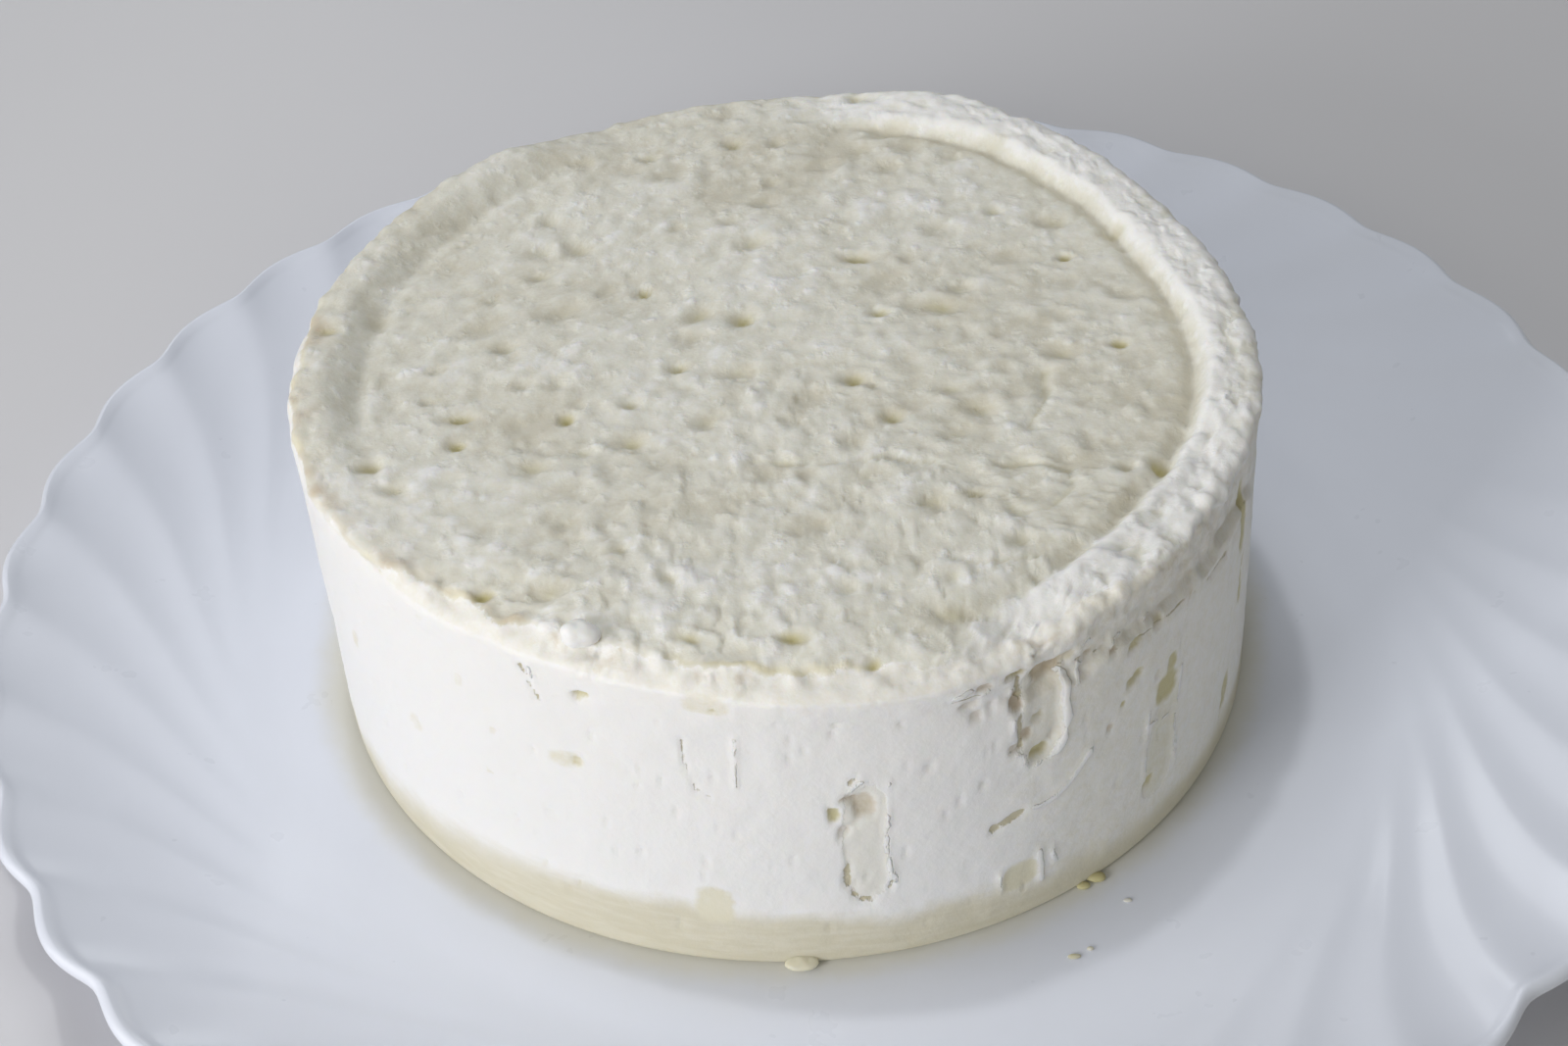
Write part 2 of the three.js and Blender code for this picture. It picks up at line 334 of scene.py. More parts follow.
plate = makePlate()
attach(plate, "root")
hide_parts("plate")

# The cheese: a drum of pressed curd with a raised ring round its top
cheeseShape = {
    "radius": 67.6,
    "height": 52.6,
    "middle": (-5.5, 1.0),
    "base": 5.06,
    "topSteps": 200,
    "gridShares": (0, 0.77, 0.875, 1),
    "gridCircles": (0, 56.0, 61.4),
    "frontCrowding": 0.33,
    "crowdedAt": -72,
    "sideRows": 60,
    "topEdge": 1.9,
    "topEdgeRows": 7,
    "baseEdge": 0.7,
    "baseEdgeRows": 4,
    "baseFlare": 0.7,
    "flareHeights": (0, 14, 28, 42),
    "flares": (0.7, 0.4, 0.2, 0),
    "baseInside": 1.4,
    "baseFaceInside": 6,
    "baseFade": (0.1, 1.2),
    "ringStep": 2.1,
    "ringInner": 60.2,
    "discRadius": 57.4,
    "discShift": (0.9, -0.2),
    "groove": 0.7,
    "grooveWidth": 1.1,
    "footInside": 0.6,
    "footWidth": 1.3,
    "slopingRing": {"at": 170, "half": 44, "fade": 26},
    "slopeWiden": 2.6,
    "slopeDiscWiden": 1.2,
    "slopeCalm": 0.6,
    "slopeGrooveLoss": 0.8,
    "discLipInside": 1.6,
    "discLipWidth": 0.9,
    "discLipHeight": 0.25,
    "standingRing": {"at": 8, "half": 62, "fade": 24},
    "crumblyRing": {"at": -40, "half": 24, "fade": 26},
    "crumbledEdge": {"at": -98, "half": 34, "fade": 14},
    "chippedEdge": {"at": -100, "half": 34, "fade": 20},
    "crustProud": 0.35,
    "crustEndSoft": 0.5,
    "crustColourSoft": 1.5,
    "nearEndWidth": 1.6,
    "topWaves": ((1, 0.5, -54), (2, 1.0, -58), (3, 1.5, -52), (5, 0.5, -9)),
    "baseWaves": ((1, 0.4, -28), (2, 0.55, -70)),
    "wornPlaces": ({"at": 97, "half": 14, "fade": 18}, {"at": -113, "half": 43, "fade": 18}),
    "wornSideLow": 38,
    "shoulder": {"at": -46, "half": 16, "fade": 14},
    "shoulderSag": 2.2,
    "shoulderReach": (54.2, 62.2),
    "shoulderInset": 1.2,
    "seam": 42,
    "seamBelow": 0.3,
    "seamAbove": 0.8,
    "frontSlump": {"at": -103, "half": 26, "fade": 20},
    "slumpDrop": 1.4,
    "slumpReach": 12,
    "bareEdge": {"at": -112, "half": 34, "fade": 16},
    "bareEdgeDrop": 1.1,
    "bareEdgeReach": (-0.8, 3.4),
}

# How far the crust reaches over the top, round its edge and down the side, by direction
crustEnd = (
    (-180, -151, -145, -140, -136, -132, -128, -125, -122, -117, -113, -106, -102, -97, -89, -83, -80, -76,
     -68, -60, -52, -45, -20, 0, 40, 90, 140, 180),
    (66.9, 67.4, 67.2, 66.2, 65.3, 64.8, 65.5, 65.9, 63.8, 63.2, 64.6, 63.2, 64.6, 63.4, 64.2, 63.4, 63.2,
     63.9, 64.0, 64.6, 65.9, 67.0, 68.0, 68.6, 69.0, 68.5, 67.5, 66.9),
)

# Pits in the top: x and y from the cheese's middle, half length, half width, turn, depth and stain
topPits = [
    (48.7, -29.6, 1.3, 1.1, 0, 1.6, 1.0),
    (44.3, -30.0, 1.2, 0.9, 10, 1.2, 0.5),
    (-44.2, -17.2, 1.2, 1.0, 0, 1.5, 1.0),
    (-29.4, -12.8, 1.1, 1.1, 0, 1.5, 0.9),
    (-44.0, -11.2, 2.2, 0.9, 0, 1.5, 0.8),
    (-55.8, -20.7, 1.6, 1.1, 15, 1.3, 0.7),
    (-18.8, 16.0, 1.2, 1.0, 0, 1.6, 0.9),
    (-4.3, 7.5, 1.7, 1.5, 20, 1.7, 0.8),
    (12.3, 20.9, 2.2, 0.9, -8, 1.6, 0.7),
    (15.3, 7.1, 1.4, 1.1, 0, 1.6, 0.8),
    (44.2, 19.0, 0.9, 0.8, 0, 1.5, 1.0),
    (48.1, -3.5, 1.2, 0.9, 0, 1.5, 1.0),
    (10.6, -8.0, 1.4, 1.2, 0, 1.6, 0.8),
    (14.9, -16.6, 1.4, 1.2, 0, 1.4, 0.7),
    (13.0, -9.4, 0.9, 0.8, 0, 1.2, 0.5),
    (23.9, -33.1, 1.6, 0.7, -5, 1.0, 0.6),
    (33.6, 31.4, 1.4, 1.0, 0, 1.3, 0.5),
    (-13.8, -3.1, 1.5, 1.0, 0, 1.3, 0.7),
    (-10.9, 9.2, 2.0, 1.4, 30, 1.2, 0.5),
    (-18.7, 52.1, 1.6, 1.2, 0, 1.2, 0.5),
    (-5.3, 54.0, 1.8, 1.3, 0, 1.4, 0.5),
    (14.9, 63.4, 1.2, 1.2, 0, 1.2, 0.5),
    (39.6, 54.0, 1.3, 1.0, -30, 1.2, 0.5),
    (-34.3, 27.7, 1.5, 1.2, 0, 1.3, 0.4),
    (-34.5, 21.4, 1.7, 0.8, 0, 1.1, 0.4),
    (-41.2, 16.2, 1.3, 1.0, 0, 1.1, 0.3),
    (-38.7, 4.0, 1.5, 1.0, 0, 1.1, 0.4),
    (-35.7, -4.9, 1.3, 1.0, 0, 1.0, 0.3),
    (-48.3, -0.3, 1.2, 0.9, 0, 1.0, 0.3),
    (-48.8, -7.2, 1.4, 0.8, 0, 1.0, 0.3),
    (-20.6, -19.5, 2.0, 1.6, 0, 1.4, 0.6),
    (-27.2, -20.9, 1.3, 1.1, 0, 1.2, 0.4),
    (28.8, -42.4, 1.5, 1.1, 0, 1.2, 0.4),
    (-23.0, -42.3, 1.4, 0.9, 0, 1.1, 0.4),
    (-20.6, -10.9, 1.2, 0.9, 0, 1.2, 0.6),
    (24.5, 8.0, 3.4, 1.8, -12, 1.1, 0.5),
    (27.0, -16.0, 2.6, 1.6, -50, 1.0, 0.4),
    (-31.0, 12.0, 3.0, 2.0, 40, 0.9, 0.3),
    (9.3, -62.9, 0.9, 1.3, 0, 0.8, 1.2),
    (-0.8, -58.6, 1.7, 1.0, 0, 1.3, 0.9),
    (-13.9, -58.8, 1.8, 0.8, -10, 1.2, 0.7),
    (-40.5, -48.8, 1.2, 1.1, 0, 1.2, 1.0),
    (-63.6, 8.2, 1.3, 1.1, 0, 1.0, 0.6),
]

# Smaller pits scattered between them. A pair is the least of a measure, and how much more it may be.
pitScatter = {
    "seed": 7,
    "count": 70,
    "tries": 4000,
    "reach": 60,
    "spacing": 5.2,
    "halfLong": (1.2, 1.5),
    "halfWide": (1.0, 0.8),
    "degrees": (-30, 60),
    "depth": (0.35, 0.6),
    "stain": (0.05, 0.4),
}

# Thin furrows in the top, as lines of x and y from the cheese's middle
topFurrows = [
    ((27.7, -27.7), (31.6, -27.7), (36.6, -29.8), (36.8, -33.3), (33.2, -36.9), (28.6, -37.5), (27.4, -33.4)),
    ((-4.0, -24.6), (4.5, -25.6), (12.5, -25.0), (19.0, -26.6)),
    ((18.0, -44.5), (23.5, -46.5), (30.5, -45.5)),
    ((33.0, -20.5), (35.5, -15.0), (36.5, -9.0)),
]
furrow = {"half": 0.35, "bottomShare": 0.4, "bank": 0.6, "depth": 0.5, "olive": 0.4}

# Slots that the mould's ribs left: direction, height, half width, half height and tilt
ribSlots = [
    (-83.4, 22.4, 2.9, 10.6, 0),
    (-63.6, 38.6, 3.0, 9.8, 0),
    (-45.0, 17.4, 3.0, 9.8, -6),
]
slotDepth = 0.15

# Marks in the side: direction, height, half width, half height, tilt, push (minus is inwards),
# then how olive, tan and cream each one is
sideMarks = [
    (-83.6, 29.2, 1.5, 2.2, 10, -0.7, 0.25, 0.6, 0.3),
    (-85.1, 30.4, 0.8, 0.9, 30, -0.6, 0.1, 0.7, 0),
    (-86.8, 28.0, 0.8, 1.2, 25, -0.6, 0.8, 0, 0),
    (-85.9, 24.6, 0.7, 1.3, -20, -0.6, 0.15, 0.4, 0),
    (-84.6, 26.0, 0.6, 0.7, -20, -0.4, 0.15, 0.3, 0),
    (-63.4, 38.6, 2.6, 9.0, 0, -0.4, 0, 0.2, 0),
    (-62.8, 45.4, 2.1, 2.4, 0, -0.6, 0.15, 0.75, 0.5),
    (-60.6, 46.4, 1.6, 1.4, 20, -0.4, 0.1, 0.4, 0.7),
    (-66.6, 49.2, 1.5, 1.1, -30, -0.9, 0.7, 0.3, 0),
    (-63.7, 47.7, 0.8, 0.9, 0, -0.8, 0.8, 0.2, 0),
    (-66.9, 41.4, 0.7, 1.5, 10, -1.0, 0.15, 0.9, 0),
    (-64.1, 37.2, 1.1, 0.6, 30, -0.7, 0.5, 0.2, 0),
    (-65.6, 35.1, 0.8, 0.8, 0, -0.7, 0.1, 0.8, 0),
    (-66.9, 33.2, 1.2, 0.6, -10, -0.6, 0.1, 0.5, 0),
    (-63.9, 30.9, 1.4, 0.9, 20, -0.8, 0.75, 0.2, 0),
    (-61.9, 33.5, 0.9, 0.5, 10, -0.5, 0, 0.4, 0),
    (-45.0, 17.0, 2.6, 8.8, -6, -0.1, 0.3, 0, 0.4),
    (-44.9, 27.8, 2.3, 2.4, -6, -0.2, 0.95, 0.1, 0.6),
    (-44.2, 31.8, 1.1, 1.6, -10, -0.2, 0.8, 0.1, 0.6),
    (-28.4, 10.4, 1.5, 2.9, 0, -0.12, 0.75, 0, 0.5),
    (-46.9, 11.4, 1.3, 0.8, 20, -0.4, 0.75, 0, 0),
    (-52.5, 31.3, 0.5, 0.5, 0, -0.3, 0.9, 0, 0),
    (-50.7, 34.8, 1.5, 0.8, 30, -0.6, 0.75, 0.1, 0),
    (-54.3, 28.2, 0.5, 0.8, -20, -0.4, 0.1, 0.6, 0),
    (-51.0, 41.0, 1.4, 0.6, 20, -0.4, 0.7, 0.2, 0),
    (-54.5, 42.4, 0.8, 0.5, 30, -0.4, 0.1, 0.8, 0),
    (-47.6, 41.6, 1.0, 0.9, 30, -0.4, 0.5, 0.5, 0),
    (-57.6, 43.6, 0.9, 0.5, 10, -0.4, 0.2, 0.6, 0),
    (-41.2, 41.0, 0.8, 0.5, 30, -0.3, 0.3, 0.5, 0),
    (-36.0, 39.4, 0.7, 0.5, 20, -0.3, 0.3, 0.4, 0),
    (-26.0, 40.5, 1.1, 6.4, 0, -0.25, 0.9, 0, 0.5),
    (-24.8, 28.0, 0.9, 4.4, 0, -0.2, 0.8, 0, 0.4),
    (-19.4, 38.5, 0.6, 0.7, 0, -0.5, 0.9, 1.0, 0),
    (-72.0, 44.8, 1.4, 1.0, 0, -0.5, 0, 0.45, 0.2),
    (-70.3, 49.4, 1.2, 0.9, 10, -0.5, 0.1, 0.6, 0),
    (-71.4, 41.4, 0.8, 1.1, 0, -0.4, 0, 0.5, 0),
    (-65.9, 8.6, 2.5, 2.4, 0, -0.25, 0.32, 0, 1.0),
    (-116.8, 31.6, 2.7, 1.4, 10, -0.15, 0.05, 0, 0.55),
    (-115.6, 31.7, 0.7, 0.8, 20, -0.3, 0.5, 0, 0),
    (-114.2, 44.9, 1.2, 0.9, 20, -0.7, 0.75, 0, 0.5),
    (-114.6, 43.6, 0.5, 0.8, 0, -0.4, 0.5, 0, 0.3),
    (-99.6, 50.0, 3.2, 2.4, 0, -0.1, 0, 0, 0.5),
    (-99.0, 49.2, 0.5, 0.4, 0, -0.3, 0.6, 0, 0),
    (-99.6, 36.8, 3.4, 5.8, 0, -0.12, 0, 0, 0.05),
    (-100.3, 10.6, 2.6, 3.4, 0, -0.05, 0, 0, 0.7),
    (-127.8, 23.9, 0.7, 0.6, 0, -0.2, 0.2, 0, 0.5),
    (-126.8, 31.5, 0.7, 0.6, 0, -0.2, 0.1, 0, 0.45),
    (-151.6, 29.9, 0.9, 1.6, 0, -0.15, 0.1, 0, 0.45),
    (-136.0, 49.0, 0.8, 0.9, 0, -0.2, 0.1, 0, 0.4),
    (-124.3, 17.4, 0.7, 1.0, 20, -0.3, 0, 0.2, 0.1),
    (-119.6, 20.9, 0.8, 0.6, 0, -0.3, 0, 0.2, 0.1),
    (-109.4, 32.2, 1.4, 0.4, -30, -0.25, 0, 0.1, 0),
    (-140.0, 24.0, 1.2, 1.8, 30, -0.15, 0.1, 0, 0.4),
    (-131.0, 38.0, 0.8, 1.4, 0, -0.2, 0.1, 0, 0.4),
]

# Cuts in the side: points of direction and height, and half width
sideCuts = [
    (((-87.4, 29.8), (-86.0, 32.3), (-84.2, 34.4)), 0.16),
    (((-85.6, 21.4), (-85.6, 18.2), (-85.6, 14.6), (-84.8, 12.7), (-83.6, 11.6), (-82.3, 11.0)), 0.34),
    (((-80.6, 14.4), (-81.4, 11.8)), 0.22),
    (((-66.4, 47.4), (-66.3, 42.6), (-66.5, 38.1), (-66.2, 33.0)), 0.3),
    (((-69.1, 19.6), (-67.2, 20.3), (-65.7, 21.0)), 0.62),
    (((-121.9, 50.8), (-121.4, 47.6), (-120.7, 45.9), (-120.1, 42.0), (-119.4, 40.4)), 0.2),
    (((-102.6, 39.6), (-102.4, 36.2), (-102.1, 33.5), (-101.4, 31.2), (-100.0, 30.4)), 0.05),
    (((-26.6, 9.6), (-29.4, 6.3)), 0.25),
    (((-24.0, 43.2), (-28.9, 39.4), (-35.9, 39.6), (-43.4, 41.4), (-47.8, 41.4), (-51.0, 41.2), (-57.5, 43.6),
      (-61.0, 44.6)), 0.1),
    (((-74.5, 47.6), (-70.2, 47.2)), 0.15),
]
cutDepth = 0.35

# Burrs that stand out of the side: points of direction and height, and half width
sideBurrs = [
    (((-86.7, 29.2), (-85.3, 31.7), (-83.7, 33.8)), 0.32),
    (((-80.9, 33.0), (-81.0, 25.7), (-81.3, 21.2), (-80.9, 16.6), (-80.1, 13.5), (-80.6, 11.6)), 0.3),
    (((-60.9, 42.6), (-60.8, 38.1), (-60.6, 35.2), (-60.8, 32.5), (-61.3, 30.5), (-62.5, 29.2),
      (-63.9, 29.0)), 0.62),
    (((-58.8, 43.4), (-59.4, 40.6)), 0.35),
    (((-67.6, 33.0), (-65.8, 31.6), (-65.2, 29.0)), 0.25),
    (((-67.2, 44.6), (-67.4, 40.0), (-67.2, 37.0)), 0.2),
    (((-48.0, 26.0), (-48.2, 20.0), (-47.8, 12.5)), 0.12),
    (((-42.3, 30.0), (-42.4, 21.0), (-42.2, 12.0), (-41.6, 8.0)), 0.2),
    (((-47.6, 23.6), (-46.0, 22.6), (-43.0, 21.2)), 0.22),
    (((-64.6, 21.0), (-62.9, 20.8), (-61.2, 21.6), (-59.4, 23.1), (-57.0, 26.6)), 0.42),
    (((-63.5, 11.8), (-63.1, 8.6), (-63.0, 5.7)), 0.42),
    (((-61.6, 11.2), (-61.2, 8.4)), 0.22),
    (((-68.5, 10.2), (-68.2, 6.9)), 0.16),
    (((-96.8, 41.6), (-96.7, 37.0), (-96.9, 33.0)), 0.1),
    (((-120.6, 50.0), (-120.2, 47.0), (-119.4, 44.4)), 0.3),
    (((-73.6, 49.4), (-72.2, 50.0)), 0.7),
    (((-70.4, 47.4), (-69.6, 48.6)), 0.6),
    (((-64.9, 43.8), (-64.3, 45.0)), 0.4),
    (((-62.2, 43.2), (-61.4, 43.9)), 0.5),
    (((-58.6, 46.6), (-57.4, 47.6)), 0.5),
    (((-54.0, 43.4), (-52.8, 44.2)), 0.45),
    (((-49.2, 43.4), (-48.2, 44.2)), 0.4),
]
burrHeight = 0.35

# How far the material takes a slot, cut or burr to be where there is none, and where there is a burr
noMark = 3.0
onBurr = -1.0

sidePores = {
    "seed": 21,
    "count": 300,
    "lowest": 5,
    "span": 42,
    "half": 0.42,
    "smallest": 0.7,
    "spread": 0.9,
    "fade": (0.2, 1.3),
    "depth": 0.4,
    "tan": 0.22,
}
faintSlots = {
    "count": 18,
    "first": -84,
    "heights": (21, 38),
    "halfWide": 2.8,
    "halfHigh": 9.5,
    "fade": (0.8, 1.1),
    "depth": 0.4,
    "cream": 0.12,
    "clearFront": {"at": -65, "half": 40, "fade": 8},
    "bareSide": {"at": -112, "half": 40, "fade": 10},
}

# The top of the base band, by direction
bandTop = (
    (-180, -160, -148, -140, -133, -126, -115, -104, -93, -82, -73, -63, -56, -49, -20, 20, 60, 100, 140,
     180),
    (2.5, 2.5, 3.5, 5.0, 7.0, 8.2, 9.0, 9.4, 8.4, 7.1, 7.1, 5.1, 4.7, 3.8, 4.4, 6.0, 8.0, 8.5, 5.0, 2.5),
)


def waves(rows, direction):
    return sum(height * np.cos(np.radians(count * (direction - bulge))) for count, height, bulge in rows)


def outOfRound(direction, height):
    c = cheeseShape
    up = np.clip(height / c["height"], 0, 1)
    return waves(c["baseWaves"], direction) * (1 - up) + waves(c["topWaves"], direction) * up


# Radius, height and lean of the drum's surface below its top, in rows from the top edge to the base
def drumRows():
    c = cheeseShape
    rows = []
    edge = c["topEdge"]
    top = c["height"] - edge
    for lean in np.linspace(90, 0, c["topEdgeRows"] + 1)[1:]:
        angle = math.radians(lean)
        rows.append((c["radius"] - edge + edge * math.cos(angle), top + edge * math.sin(angle), lean))
    for height in np.linspace(top, c["baseEdge"], c["sideRows"])[1:]:
        rows.append((c["radius"] + np.interp(height, c["flareHeights"], c["flares"]), height, 0))
    edge = c["baseEdge"]
    foot = c["radius"] + c["baseFlare"] - edge
    for lean in np.linspace(0, -90, c["baseEdgeRows"] + 1)[1:]:
        angle = math.radians(lean)
        rows.append((foot + edge * math.cos(angle), edge + edge * math.sin(angle), lean))
    rows.append((c["radius"] - c["baseFaceInside"], 0, -90))
    return np.array(rows)


# A grid with its border pulled down in rows. Their depth is a count, until shapeCheese gives the real places.
def gridAndSide(rowCount):
    steps = cheeseShape["topSteps"]
    bm = bmesh.new()
    bmesh.ops.create_grid(bm, x_segments=steps, y_segments=steps, size=1)
    border = [edge for edge in bm.edges if edge.is_boundary]
    for _ in range(rowCount):
        made = bmesh.ops.extrude_edge_only(bm, edges=border)["geom"]
        border = [item for item in made if isinstance(item, bmesh.types.BMEdge) and item.is_boundary]
        lower = [item for item in made if isinstance(item, bmesh.types.BMVert)]
        bmesh.ops.translate(bm, verts=lower, vec=(0, 0, -1))
    bmesh.ops.edgeloop_fill(bm, edges=border)
    return bm


# Direction round the cheese and share of the way out, from a place in the square grid.
def discPlace(x, y):
    share = np.maximum(np.abs(x), np.abs(y))
    upright = np.abs(y) > np.abs(x)
    safeX = np.where(upright | (x == 0), 1, x)
    safeY = np.where(upright, y, 1)
    along = np.where(upright, 90 - 45 * x / safeY, 45 * y / safeX)
    direction = along + np.where(np.where(upright, y, x) < 0, 180, 0)
    return direction, share


def ovalReach(x, y, halfLong, halfWide, degrees):
    angle = math.radians(degrees)
    along = x * math.cos(angle) + y * math.sin(angle)
    across = y * math.cos(angle) - x * math.sin(angle)
    return np.hypot(along / halfLong, across / halfWide)


# As ovalReach, for a box with rounded corners.
def boxReach(x, y, halfWide, halfHigh, degrees):
    angle = math.radians(degrees)
    along = np.abs(x * math.cos(angle) + y * math.sin(angle)) / halfWide
    across = np.abs(y * math.cos(angle) - x * math.sin(angle)) / halfHigh
    return (along**3 + across**3) ** (1 / 3)


# Distance of each point from a line through the given points.
def lineReach(x, y, line):
    best = np.full(len(x), farAway)
    for (x0, y0), (x1, y1) in zip(line, line[1:]):
        dx, dy = x1 - x0, y1 - y0
        share = np.clip(((x - x0) * dx + (y - y0) * dy) / (dx * dx + dy * dy), 0, 1)
        best = np.minimum(best, np.hypot(x - x0 - share * dx, y - y0 - share * dy))
    return best


def scatteredPits():
    s = pitScatter
    random = np.random.default_rng(s["seed"])
    pits = [pit[:2] for pit in topPits]
    drawn = []
    for _ in range(s["tries"]):
        radius = s["reach"] * math.sqrt(random.random())
        angle = 2 * math.pi * random.random()
        x, y = radius * math.cos(angle), radius * math.sin(angle)
        size, turned, deep = random.random(), random.random(), random.random()
        if all(math.hypot(x - px, y - py) > s["spacing"] for px, py in pits):
            pits.append((x, y))
            names = ("halfLong", "halfWide", "degrees", "depth", "stain")
            shares = (size, size, turned, deep, deep)
            drawn.append((x, y, *(s[name][0] + s[name][1] * share for name, share in zip(names, shares))))
        if len(drawn) == s["count"]:
            break
    return drawn


# Relief of the crust's curd. A row of lumps is height, size and seed. A row of knobs or flakes is height, how
# much more it is where the curd is crumbly, size and seed.
crustRelief = {
    "lumps": ((0.24, 14, 1), (0.16, 6.2, 2), (0.12, 2.3, 5)),
    "warp": (1.1, 3.4, 41),
    "longKnobs": (0.32, 0, 4.6, 3),
    "longKnobsPress": (1, 1.15, 1),
    "knobs": (0.20, 0.18, 2.9, 17),
    "smallKnobs": (0.12, 0.08, 1.75, 23),
    "flakes": (0.18, 0.26, 2.5, 51),
    "middle": 0.5,
}


# Curd relief of the crust. Where it is crumbly, more and smaller knobs stand out of it.
def curdRelief(points, crumbly):
    r = crustRelief
    reach, wide, firstSeed = r["warp"]
    warped = points + reach * np.stack([lumps(points, wide, firstSeed + axis) for axis in range(3)], axis=1)
    relief = manyLumps(points, r["lumps"])
    for form, name, where in (
        (knobs, "longKnobs", warped * r["longKnobsPress"]),
        (knobs, "knobs", warped),
        (knobs, "smallKnobs", points),
        (flakes, "flakes", warped),
    ):
        height, more, size, seed = r[name]
        relief += (height + more * crumbly) * (form(where, size, seed) - r["middle"])
    return relief


# Lumps that make edges and patches uneven, in rows of height, size and seed
unevenRows = {
    "crustEnd": ((0.9, 5, 120), (0.7, 1.9, 121)),
    "crumbledEnd": ((0.5, 5, 120),),
    "ring": ((0.7, 9, 60), (0.35, 3, 61)),
    "discLip": ((0.7, 5, 62),),
    "seam": ((1.0, 5, 30), (0.6, 1.8, 31)),
    "crumbly": ((0.35, 11, 8),),
    "side": ((0.2, 9, 80), (0.1, 3.4, 81), (0.06, 1.5, 82)),
    "endRelief": ((0.35, 2.4, 71),),
    "clouds": ((0.12, 17, 140),),
    "shadedShoulder": ((0.5, 5, 92),),
    "pit": ((0.2, 1.3, 90),),
    "furrow": ((0.5, 2.2, 91),),
    "mark": ((0.35, 2.0, 95), (0.25, 0.9, 96)),
    "burr": ((0.5, 1.4, 97),),
    "band": ((0.8, 6, 100), (0.4, 1.8, 101)),
    "leftCream": ((0.6, 4, 110),),
    "leftTan": ((0.3, 5, 111), (0.35, 1.8, 114)),
}

# Patches: where the lumps that make them start and end to count, their size and seed
patchRows = {
    "grains": (-0.1, 0.5, 8, 58),
    "chips": (0.15, 0.7, 3.2, 72),
    "crumbs": (-0.3, 0.4, 6, 73),
    "ringStains": (0.2, 0.8, 4.5, 93),
    "crumbStains": (0.1, 0.7, 1.7, 94),
    "brokenLines": (0, 0.6, 2.4, 98),
    "edgeLine": (0.05, 0.6, 4.5, 112),
    "pinkish": (-0.6, 0.4, 3, 113),
}

# Arcs of the cheese's edge and side that are stained or softened
stainArcs = {
    # The right side is painted cream as painted warm light that falls on it
    "creamSide": {"at": -20, "half": 34, "fade": 34},
    "softBandRight": {"at": -20, "half": 46, "fade": 30},
    "softBandLeft": {"at": -170, "half": 34, "fade": 30},
    "leftEdge": {"at": -158, "half": 30, "fade": 12},
    "leftLine": {"at": -150, "half": 34, "fade": 10},
    "pinkish": {"at": -129, "half": 4, "fade": 6},
    "frontLine": {"at": -92, "half": 14, "fade": 6},
    "frontLedge": {"at": -91, "half": 7, "fade": 5},
}


# The cheese's skin while it is shaped: where each vertex is, how far it is pushed out and how it is stained
class Skin:
    def uneven(self, name):
        return manyLumps(self.flat, unevenRows[name])

    # From 0 to 1
    def patches(self, name):
        low, high, size, seed = patchRows[name]
        return smooth(low, high, lumps(self.flat, size, seed))

    def arc(self, name):
        return arc(self.direction, cheeseShape[name] if name in cheeseShape else stainArcs[name])

    # How far round the side each vertex is from a direction, in millimetres
    def roundFrom(self, at):
        return np.radians(turn(at, self.direction)) * cheeseShape["radius"]

    # Stains at least as strongly as the given value.
    def stain(self, name, value):
        setattr(self, name, np.maximum(getattr(self, name), value))


# The plain drum: direction, radius, height and lean of the surface
def laySkin(grid):
    c = cheeseShape
    skin = Skin()
    rows = drumRows()
    row = np.rint(-grid[:, 2]).astype(int)
    direction, share = discPlace(grid[:, 0], grid[:, 1])
    # The mesh is finer towards the front.
    direction -= np.degrees(c["frontCrowding"] * np.sin(np.radians(direction - c["crowdedAt"])))
    skin.direction = turn(0, direction)
    skin.angle = np.radians(skin.direction)
    skin.onTop = row == 0
    circles = (*c["gridCircles"], c["radius"] - c["topEdge"])
    skin.radius = np.where(skin.onTop, np.interp(share, c["gridShares"], circles), rows[row - 1, 0])
    skin.height = np.where(skin.onTop, c["height"], rows[row - 1, 1])
    skin.lean = np.radians(np.where(skin.onTop, 90, rows[row - 1, 2]))
    x, y = skin.radius * np.cos(skin.angle), skin.radius * np.sin(skin.angle)
    skin.flat = np.stack([x, y, skin.height], axis=1)
    skin.base = smooth(*c["baseFade"], skin.height)
    skin.olive, skin.tan, skin.cream = (np.zeros(len(row)) for _ in range(3))
    return skin


# Where the crust ends. The way along the section goes out over the top, round its edge and down the side.
def endCrust(skin):
    c = cheeseShape
    edge = c["topEdge"]
    roundEdge = c["radius"] - edge + edge * (math.pi / 2 - np.maximum(skin.lean, 0))
    skin.way = np.where(skin.onTop, skin.radius, roundEdge) + np.maximum(c["height"] - edge - skin.height, 0)
    skin.crumbled = skin.arc("crumbledEdge")
    uneven = skin.uneven("crustEnd") + skin.crumbled * skin.uneven("crumbledEnd")
    skin.pastCrust = skin.way - np.interp(skin.direction, *crustEnd) + uneven
    skin.crust = 1 - smooth(-c["crustEndSoft"], c["crustEndSoft"], skin.pastCrust)
    skin.nearEnd = hill(skin.pastCrust, c["nearEndWidth"])


